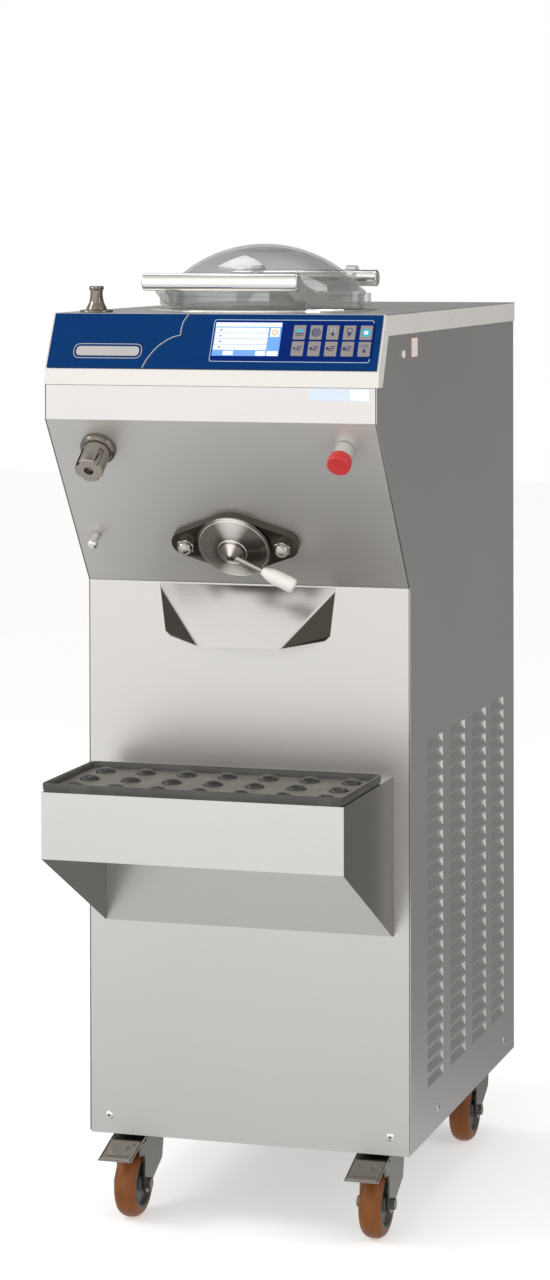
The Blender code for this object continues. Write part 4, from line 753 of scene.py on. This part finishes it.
def bar(name, y, body, replaced):
    r, half = lid["bar"], 0.116
    profile = rounded([(0, -half), (r, -half), (r, half), (0, half)], 0.004, 5)
    along = Matrix.Translation((0, y, lid["barZ"])) @ Matrix.Rotation(math.pi / 2, 4, "Y")
    addPiece(name, lathe(profile, 64), "polishedSteel", body, along, replaces=replaced)


makeLid()
bar("handle_bar", lid["front"], "lid", ("lid_handle",))
print("lid made")


# outlet on the slanted face
outlet = {"down": 0.221, "disc": 0.0545, "hub": 0.018, "leverTurn": -25.0, "leverLift": 9.0, "nutAt": 0.073}


turnedFinish()


def makeOutlet():
    place = onSlant(0, outlet["down"])
    r = outlet["disc"]
    face = [(0, 0.0126), (r - 0.0015, 0.0126), (r, 0.0142), (r, 0.0166), (r - 0.0014, 0.0176), (r - 0.0018, 0.0170),
            (r - 0.0026, 0.0170), (r - 0.0034, 0.0182), (0.0230, 0.0262), (0.0226, 0.0256), (0.0218, 0.0256),
            (0.0212, 0.0266), (0.0190, 0.0276), (0, 0.0276)]
    addPiece("outlet_disc_turned", lathe(rounded(face, 0.0004, 2), 96), "turnedSteel", "outlet_gate",
             place, replaces=("outlet_disc",))
    wide = outlet["hub"]
    hub = [(0, 0.02765), (wide, 0.02765), (wide, 0.0290), (0.0172, 0.0300), (0.0070, 0.0392), (0.0050, 0.0405),
           (0, 0.0412)]
    addPiece("outlet_hub_turned", lathe(rounded(hub, 0.0006, 2), 64), "turnedSteel", "outlet_lever",
             place, replaces=("outlet_hub",))
    aim = Matrix.Rotation(math.radians(outlet["leverTurn"]), 4, "Z") @ \
        Matrix.Rotation(math.radians(90 - outlet["leverLift"]), 4, "Y")
    lever = place @ Matrix.Translation((0, 0, 0.0335)) @ aim
    rod = rounded([(0, 0.001), (0.0042, 0.001), (0.0042, 0.0250), (0.0037, 0.0270), (0.0037, 0.064), (0, 0.064)], 0.001)
    addPiece("lever_rod_turned", lathe(rod, 32), "nutSteel", "outlet_lever", lever,
             replaces=("lever_rod",))
    grip = [(0, 0.050), (0.0052, 0.050), (0.0060, 0.0520), (0.0074, 0.0560), (0.0100, 0.0640), (0.0110, 0.0720),
            (0.0110, 0.0960), (0.0104, 0.1000), (0.0088, 0.1018), (0, 0.1020)]
    addPiece("lever_grip_moulded", lathe(rounded(grip, 0.002, 3), 56), "gripWhite", "outlet_lever",
             lever, replaces=("lever_grip",))
    for side, label in ((-1, "left"), (1, "right")):
        spot = onSlant(outlet["nutAt"] * side, outlet["down"], 0.0122)
        flats = lathe([(0, 0), (0.0132, 0), (0.0135, 0.0006), (0.0135, 0.0062), (0.0122, 0.0074), (0, 0.0074)], 6, 0.3)
        cap = [(0.0112 * math.cos(a), 0.0070 + 0.0108 * math.sin(a)) for a in [0.157 * k for k in range(11)]]
        shape = addTo(flats, lathe([(0.0112, 0.0060)] + cap[:-1] + [(0, 0.0178)], 48))
        addPiece(f"dome_nut_{label}_turned", shape, "nutSteel", "machine", spot, sharp=30,
                 replaces=(f"dome_nut_{label}",))


makeOutlet()


# stop button, stud and post
def makeFittings():
    stop = onSlant(0.1905, 0.0465)
    body = rounded([(0, 0.0004), (0.0147, 0.0004), (0.0147, 0.0205), (0.0138, 0.0228), (0, 0.0228)], 0.0010)
    addPiece("stop_body_turned", lathe(body, 64), "polishedSteel", "machine", stop,
             replaces=("stop_body",))
    cap = rounded([(0, 0.0212), (0.0150, 0.0212), (0.0166, 0.0222), (0.0172, 0.0300), (0.0166, 0.0372),
                   (0.0150, 0.0384), (0.0140, 0.0380), (0, 0.0380)], 0.0012, 3)
    addPiece("stop_cap_moulded", lathe(cap, 64), "stopRed", "stop_button", stop, replaces=("stop_button",))
    stud = [(0, 0.0004), (0.0065, 0.0004), (0.0065, 0.0150), (0.0070, 0.0158), (0.0080, 0.0170), (0.0080, 0.0215),
            (0.0070, 0.0240), (0.0048, 0.0256), (0, 0.0260)]
    addPiece("hook_stud_turned", lathe(rounded(stud, 0.001, 2), 48), "polishedSteel", "machine",
             onSlant(-0.2145, 0.2185), replaces=("hook_stud",))
    low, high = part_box("hose_post")
    mid = Matrix.Translation(((low.x + high.x) / 2, (low.y + high.y) / 2, low.z))
    r, h = (high.x - low.x) / 2, high.z - low.z
    post = [(0, 0), (r, 0), (r, 0.0022), (r * 0.93, 0.0032), (0.0150, 0.0040), (0.0148, 0.0062), (0.0130, 0.0095),
            (0.0108, 0.0140), (0.0094, 0.0210), (0.0088, 0.0280), (0.0092, h - 0.0060), (0.0108, h - 0.0040),
            (0.0108, h - 0.0018), (0.0092, h), (0, h)]
    addPiece("hose_post_turned", lathe(rounded(post, 0.0012, 2), 56), "postSteel", "machine",
             mid, replaces=("hose_post",))


makeFittings()
print("fittings made")


# mat with rows of round bumps
mat = {"columns": 7, "rows": 3, "pitch": (0.0614, 0.0663), "radius": 0.0145, "height": 0.0072, "rim": 0.005}


def makeMat():
    low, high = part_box("drip_mat")
    midY = (low.y + high.y) / 2
    width, depth, rim = high.x - low.x, high.y - low.y, mat["rim"]

    def loop(inset, radius):
        return rounded([(low.x + inset, low.y + inset), (high.x - inset, low.y + inset),
                        (high.x - inset, high.y - inset), (low.x + inset, high.y - inset)], radius, 6, True)

    # wall of the rim, flared a little outwards
    section = [(0.0022, low.z), (0.0004, low.z + 0.004), (0.0, high.z - 0.0012), (0.0010, high.z),
               (rim - 0.0012, high.z), (rim, high.z - 0.0014), (rim + 0.0006, low.z + 0.0034)]
    shape, rings = bmesh.new(), []
    for inset, z in section:
        rings.append([shape.verts.new((x, y, z)) for x, y in loop(inset, 0.012 - min(inset, 0.006))])
    for a, b in zip(rings, rings[1:]):
        for i in range(len(a)):
            j = (i + 1) % len(a)
            shape.faces.new([a[i], a[j], b[j], b[i]])
    shape.faces.new(rings[-1])
    shape.faces.new(rings[0][::-1])
    addPiece("mat_moulded", shape, "matRim", "machine", sharp=50, replaces=("drip_mat",))
    floor = low.z + 0.0034
    sheet = flat([loop(rim + 0.0002, 0.007)], floor - 0.0003, floor + 0.0002)
    addPiece("mat_floor", sheet, "matRubber", "machine")
    shape = bmesh.new()
    for column in range(mat["columns"]):
        for row in range(mat["rows"]):
            x = (column - (mat["columns"] - 1) / 2) * mat["pitch"][0]
            y = midY + (row - (mat["rows"] - 1) / 2) * mat["pitch"][1]
            r, h = mat["radius"], mat["height"]
            cap = [(r + 0.0015, -0.0004), (r, 0.0003)]
            cap += [(r * math.cos(a), h * math.sin(a)) for a in [0.15 + 0.142 * k for k in range(10)]] + [(0, h)]
            addTo(shape, lathe(cap, 32), Matrix.Translation((x, y, floor)))
    addPiece("mat_domes", shape, "matDome", "machine", sharp=50)


makeMat()


# castors: tread and hub are separate pieces
castor = {"radius": 0.050, "width": 0.034, "hub": 0.0355}


def makeCastors():
    wide, r, hub = castor["width"] / 2, castor["radius"], castor["hub"]
    for end in ("front", "rear"):
        for side in ("left", "right"):
            label = f"{end}_{side}"
            low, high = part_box(f"castor_wheel_{label}")
            middle = (low + high) / 2
            place = Matrix.Translation((middle.x, middle.y, r)) @ Matrix.Rotation(math.pi / 2, 4, "Y")
            tread = [(hub, -wide + 0.001), (r - 0.0105, -wide), (r - 0.0050, -wide + 0.0025),
                     (r - 0.0012, -wide + 0.0080), (r, -wide + 0.0130), (r, wide - 0.0130),
                     (r - 0.0012, wide - 0.0080), (r - 0.0050, wide - 0.0025), (r - 0.0105, wide),
                     (hub, wide - 0.001)]
            addPiece(f"tread_{label}", lathe(rounded(tread, 0.002, 2), 80), "treadAmber", f"wheel_{label}",
                     place, replaces=(f"castor_wheel_{label}",))
            core = [(0.0062, -wide), (0.0125, -wide), (0.0135, -wide + 0.0040), (0.0290, -wide + 0.0062),
                    (0.0312, -wide + 0.0030), (0.0335, -wide + 0.0004), (hub + 0.0004, -wide + 0.0006),
                    (hub + 0.0004, wide - 0.0006), (0.0335, wide - 0.0004), (0.0312, wide - 0.0030),
                    (0.0290, wide - 0.0062), (0.0135, wide - 0.0040), (0.0125, wide), (0.0062, wide),
                    (0.0062, -wide)]
            addPiece(f"hub_{label}", lathe(rounded(core, 0.0006, 2), 64), "hubGrey", f"wheel_{label}",
                     place)


# brake pedals: pressed middle, bright lip and side edges
pedal = {"across": 0.1865, "top": (-0.2065, 0.1196), "tip": (-0.2530, 0.1052), "lipHalf": 0.0225,
         "edgeAt": 0.0238}


def makePedals():
    start, end = Vector((0, *pedal["top"])), Vector((0, *pedal["tip"]))
    down = (end - start).normalized()
    out = Vector((0, down.z, -down.y))
    if out.z < 0:
        out = -out
    length = (end - start).length
    for side, label in ((-1, "left"), (1, "right")):
        body = f"pedal_{label}"
        place = frameAt(start + acrossX * pedal["across"] * side, acrossX, -down, out)
        glass = [(-0.0165, -0.004), (0.0165, -0.004), (0.0165, -0.009), (0.0085, -0.017), (0.0085, -0.027),
                 (0.0165, -0.036), (0.0165, -0.041), (-0.0165, -0.041), (-0.0165, -0.036), (-0.0085, -0.027),
                 (-0.0085, -0.017), (-0.0165, -0.009)]
        addPiece(f"pedal_press_{label}", flat([rounded(glass, 0.003, 3, True)], -0.0003, 0.0011), "pedalSteel",
                 body, place, bevel=0.0006)
        half = pedal["lipHalf"]
        rim = ribbon([(-half, -length - 0.003), (half, -length - 0.003)], 0.0022, 0.0002, 0.0018)
        addPiece(f"pedal_lip_{label}", rim, "nutSteel", body, place, bevel=0.0006)
        for edge, mark in ((-pedal["edgeAt"], "a"), (pedal["edgeAt"], "b")):
            line = ribbon([(edge, 0.0), (edge, -length)], 0.0016, -0.0003, 0.0010)
            addPiece(f"pedal_edge_{label}_{mark}", line, "castorSteel", body, place, bevel=0.0004)


makeCastors()
makePedals()
print("castors and pedals made")


# finishes and softened edges on the frame's own nodes
slotFinish = {
    "casing_steel": "casingSteel", "cover_steel": "coverSteel", "shelf_steel": "shelfSteel",
    "fascia_blue": "fasciaBlue", "screen": "litBlue", "keys": "fasciaDeep", "stop_red": "stopRed",
    "polished_steel": "polishedSteel", "knob_steel": "knobSteel", "collar_dark": "collarSteel",
    "grip_white": "gripWhite", "lid_clear": "lidClear", "mat_rubber": "matRubber", "tread_amber": "treadAmber",
    "castor_steel": "castorSteel", "frame_steel": "frameSteel", "dasher_steel": "dasherSteel",
    "blade_white": "bladeWhite", "seal_black": "sealBlack", "motor_grey": "motorGrey",
    "compressor_black": "compressorBlack", "condenser_fins": "condenserFins", "fan_black": "fanBlack",
}
ownFinish = {"head_panel": "slantSteel", "outlet_flange": "darkTurned", "deflector_chute": "chuteSteel",
             "brake_pedal_front_left": "pedalSteel", "brake_pedal_front_right": "pedalSteel"}
softened = {"valve_knob": 0.0008, "valve_collar": 0.0010, "outlet_flange": 0.0012, "hinge_bar": 0.0012,
            "control_fascia": 0.0004}
for part in frame["record"]["subparts"]:
    node = nodes[part["node"]]
    finish = finishes[ownFinish.get(part["node"], slotFinish[part["material_slot"]])]
    if node.material_slots:
        for materialSlot in node.material_slots:
            materialSlot.material = finish
    else:
        node.data.materials.append(finish)
    width = softened.get(part["node"], 0.0005 if "castor" in part["node"] or "pedal" in part["node"] else 0)
    if width and not node.hide_render:
        weld = node.modifiers.new("weld", "WELD")
        weld.merge_threshold = 0.00001
        edge = node.modifiers.new("edges", "BEVEL")
        edge.width, edge.segments, edge.limit_method = width, 2, "ANGLE"
        edge.angle_limit = math.radians(35)
print("frame finished")


# floor, light and camera
studioFloor = [(0.0, 0.98), (0.28, 0.84), (0.46, 0.63), (0.55, 0.54), (0.62, 0.46), (0.69, 0.25), (0.78, 0.20),
               (1.0, 0.22)]  # place from front to back, brightness in the steel


def makeFloor():
    shape = bmesh.new()
    bmesh.ops.create_grid(shape, x_segments=4, y_segments=4, size=14.0)
    mesh = bpy.data.meshes.new("floor")
    shape.to_mesh(mesh)
    shape.free()
    floor = bpy.data.objects.new("floor", mesh)
    floor.location = (0, 0, -0.0004)
    scene.collection.objects.link(floor)
    n = newFinish("floorPale")
    ray = n.node("ShaderNodeLightPath", output="Is Camera Ray")
    matt = n.node("ShaderNodeBsdfPrincipled", None, {"Base Color": n.blend(n.noise(2.0), grey(0.80), grey(0.84)),
                                                     "Roughness": 0.8})
    glow = n.node("ShaderNodeEmission", None, {"Color": grey(1.0), "Strength": 0.42})
    both = n.node("ShaderNodeAddShader", None, {0: matt, 1: glow})
    # in the steel the floor is bright in front and falls off towards the back of the room
    depth = n.node("ShaderNodeSeparateXYZ", None, {0: n.place()}, "Y")
    share = n.node("ShaderNodeMapRange", None, {"Value": depth, "From Min": -6.0, "From Max": 4.0})
    fall = n.node("ShaderNodeValToRGB", {"stops": [(at, grey(level)) for at, level in studioFloor]}, {"Fac": share})
    seen = n.node("ShaderNodeEmission", None, {"Color": fall, "Strength": 1.5})
    surface = n.node("ShaderNodeMixShader", None, {0: ray, 1: seen, 2: both})
    n.node("ShaderNodeOutputMaterial", None, {"Surface": surface})
    mesh.materials.append(finishes["floorPale"])


studio = {"base": 0.74, "front": 0.80, "frontAim": (-0.29, -0.955, -0.05), "dark": 0.45, "darkAim": (0.33, 0.944, 0.0),
          "above": 0.12, "over": 0.50, "overAim": (0, 0.45, 0.893)}


def makeStudio():
    world = bpy.data.worlds.new("studio")
    scene.world = world
    world.use_nodes = True
    n = Nodes(world.node_tree)
    way = n.node("ShaderNodeTexCoord", output="Generated")

    def towards(aim):
        return n.node("ShaderNodeVectorMath", {"operation": "DOT_PRODUCT"}, {0: way, 1: aim}, "Value")

    bright = n.smooth(towards(studio["frontAim"]), 0.35, 0.98)
    dim = n.smooth(towards(studio["darkAim"]), 0.30, 0.92)
    above = n.smooth(towards((0, 0, 1)), 0.35, 0.95)
    over = n.smooth(towards(studio["overAim"]), 0.72, 0.93)  # a dim ceiling gives round metal its dark edge
    level = bright * studio["front"] - dim * studio["dark"] + above * studio["above"]
    level = level + studio["base"] - over * studio["over"]
    room = n.node("ShaderNodeBackground", None, {"Color": (1.0, 0.985, 0.965, 1.0), "Strength": level})
    white = n.node("ShaderNodeBackground", None, {"Color": grey(1.0), "Strength": 1.0})
    ray = n.node("ShaderNodeLightPath", output="Is Camera Ray")
    surface = n.node("ShaderNodeMixShader", None, {0: ray, 1: room, 2: white})
    n.node("ShaderNodeOutputWorld", None, {"Surface": surface})


lamps = {  # place, aim, width, height, power
    "key": ((-2.7, -1.5, 3.0), (0, 0, 0.9), 1.2, 1.2, 34),
    "strip": ((2.6, -1.2, 2.2), (0, 0, 1.0), 0.4, 1.8, 12),
    "window_left": ((-0.75, 0.85, 3.3), (0, -0.1, 1.4), 0.55, 0.9, 9),
    "window_right": ((0.85, 0.55, 3.2), (0, -0.1, 1.4), 0.45, 0.8, 7),
}


def areaLight(name, place, aim, width, height, power):
    data = bpy.data.lights.new(name, "AREA")
    data.shape, data.size, data.size_y, data.energy = "RECTANGLE", width, height, power
    lamp = bpy.data.objects.new(name, data)
    lamp.location = place
    lamp.rotation_euler = (Vector(aim) - Vector(place)).to_track_quat("-Z", "Y").to_euler()
    scene.collection.objects.link(lamp)


camera = {"lens": 94.148, "place": (1.4569, -4.8449, 1.4631), "yaw": 16.9256, "pitch": 0.6, "roll": -0.1090,
          "shift": -0.2944}


def makeCamera():
    data = bpy.data.cameras.new("camera")
    data.lens, data.sensor_width, data.shift_y = camera["lens"], 36.0, camera["shift"]
    data.clip_end = 100.0
    eye = bpy.data.objects.new("camera", data)
    turn = Matrix.Rotation(math.radians(camera["yaw"]), 4, "Z") @ \
        Matrix.Rotation(math.radians(90 - camera["pitch"]), 4, "X") @ \
        Matrix.Rotation(math.radians(camera["roll"]), 4, "Z")
    eye.matrix_world = Matrix.Translation(camera["place"]) @ turn
    scene.collection.objects.link(eye)
    scene.camera = eye


makeFloor()
makeStudio()
for name, values in lamps.items():
    areaLight(name, *values)
makeCamera()
scene.view_settings.view_transform = "Standard"
print("studio ready")
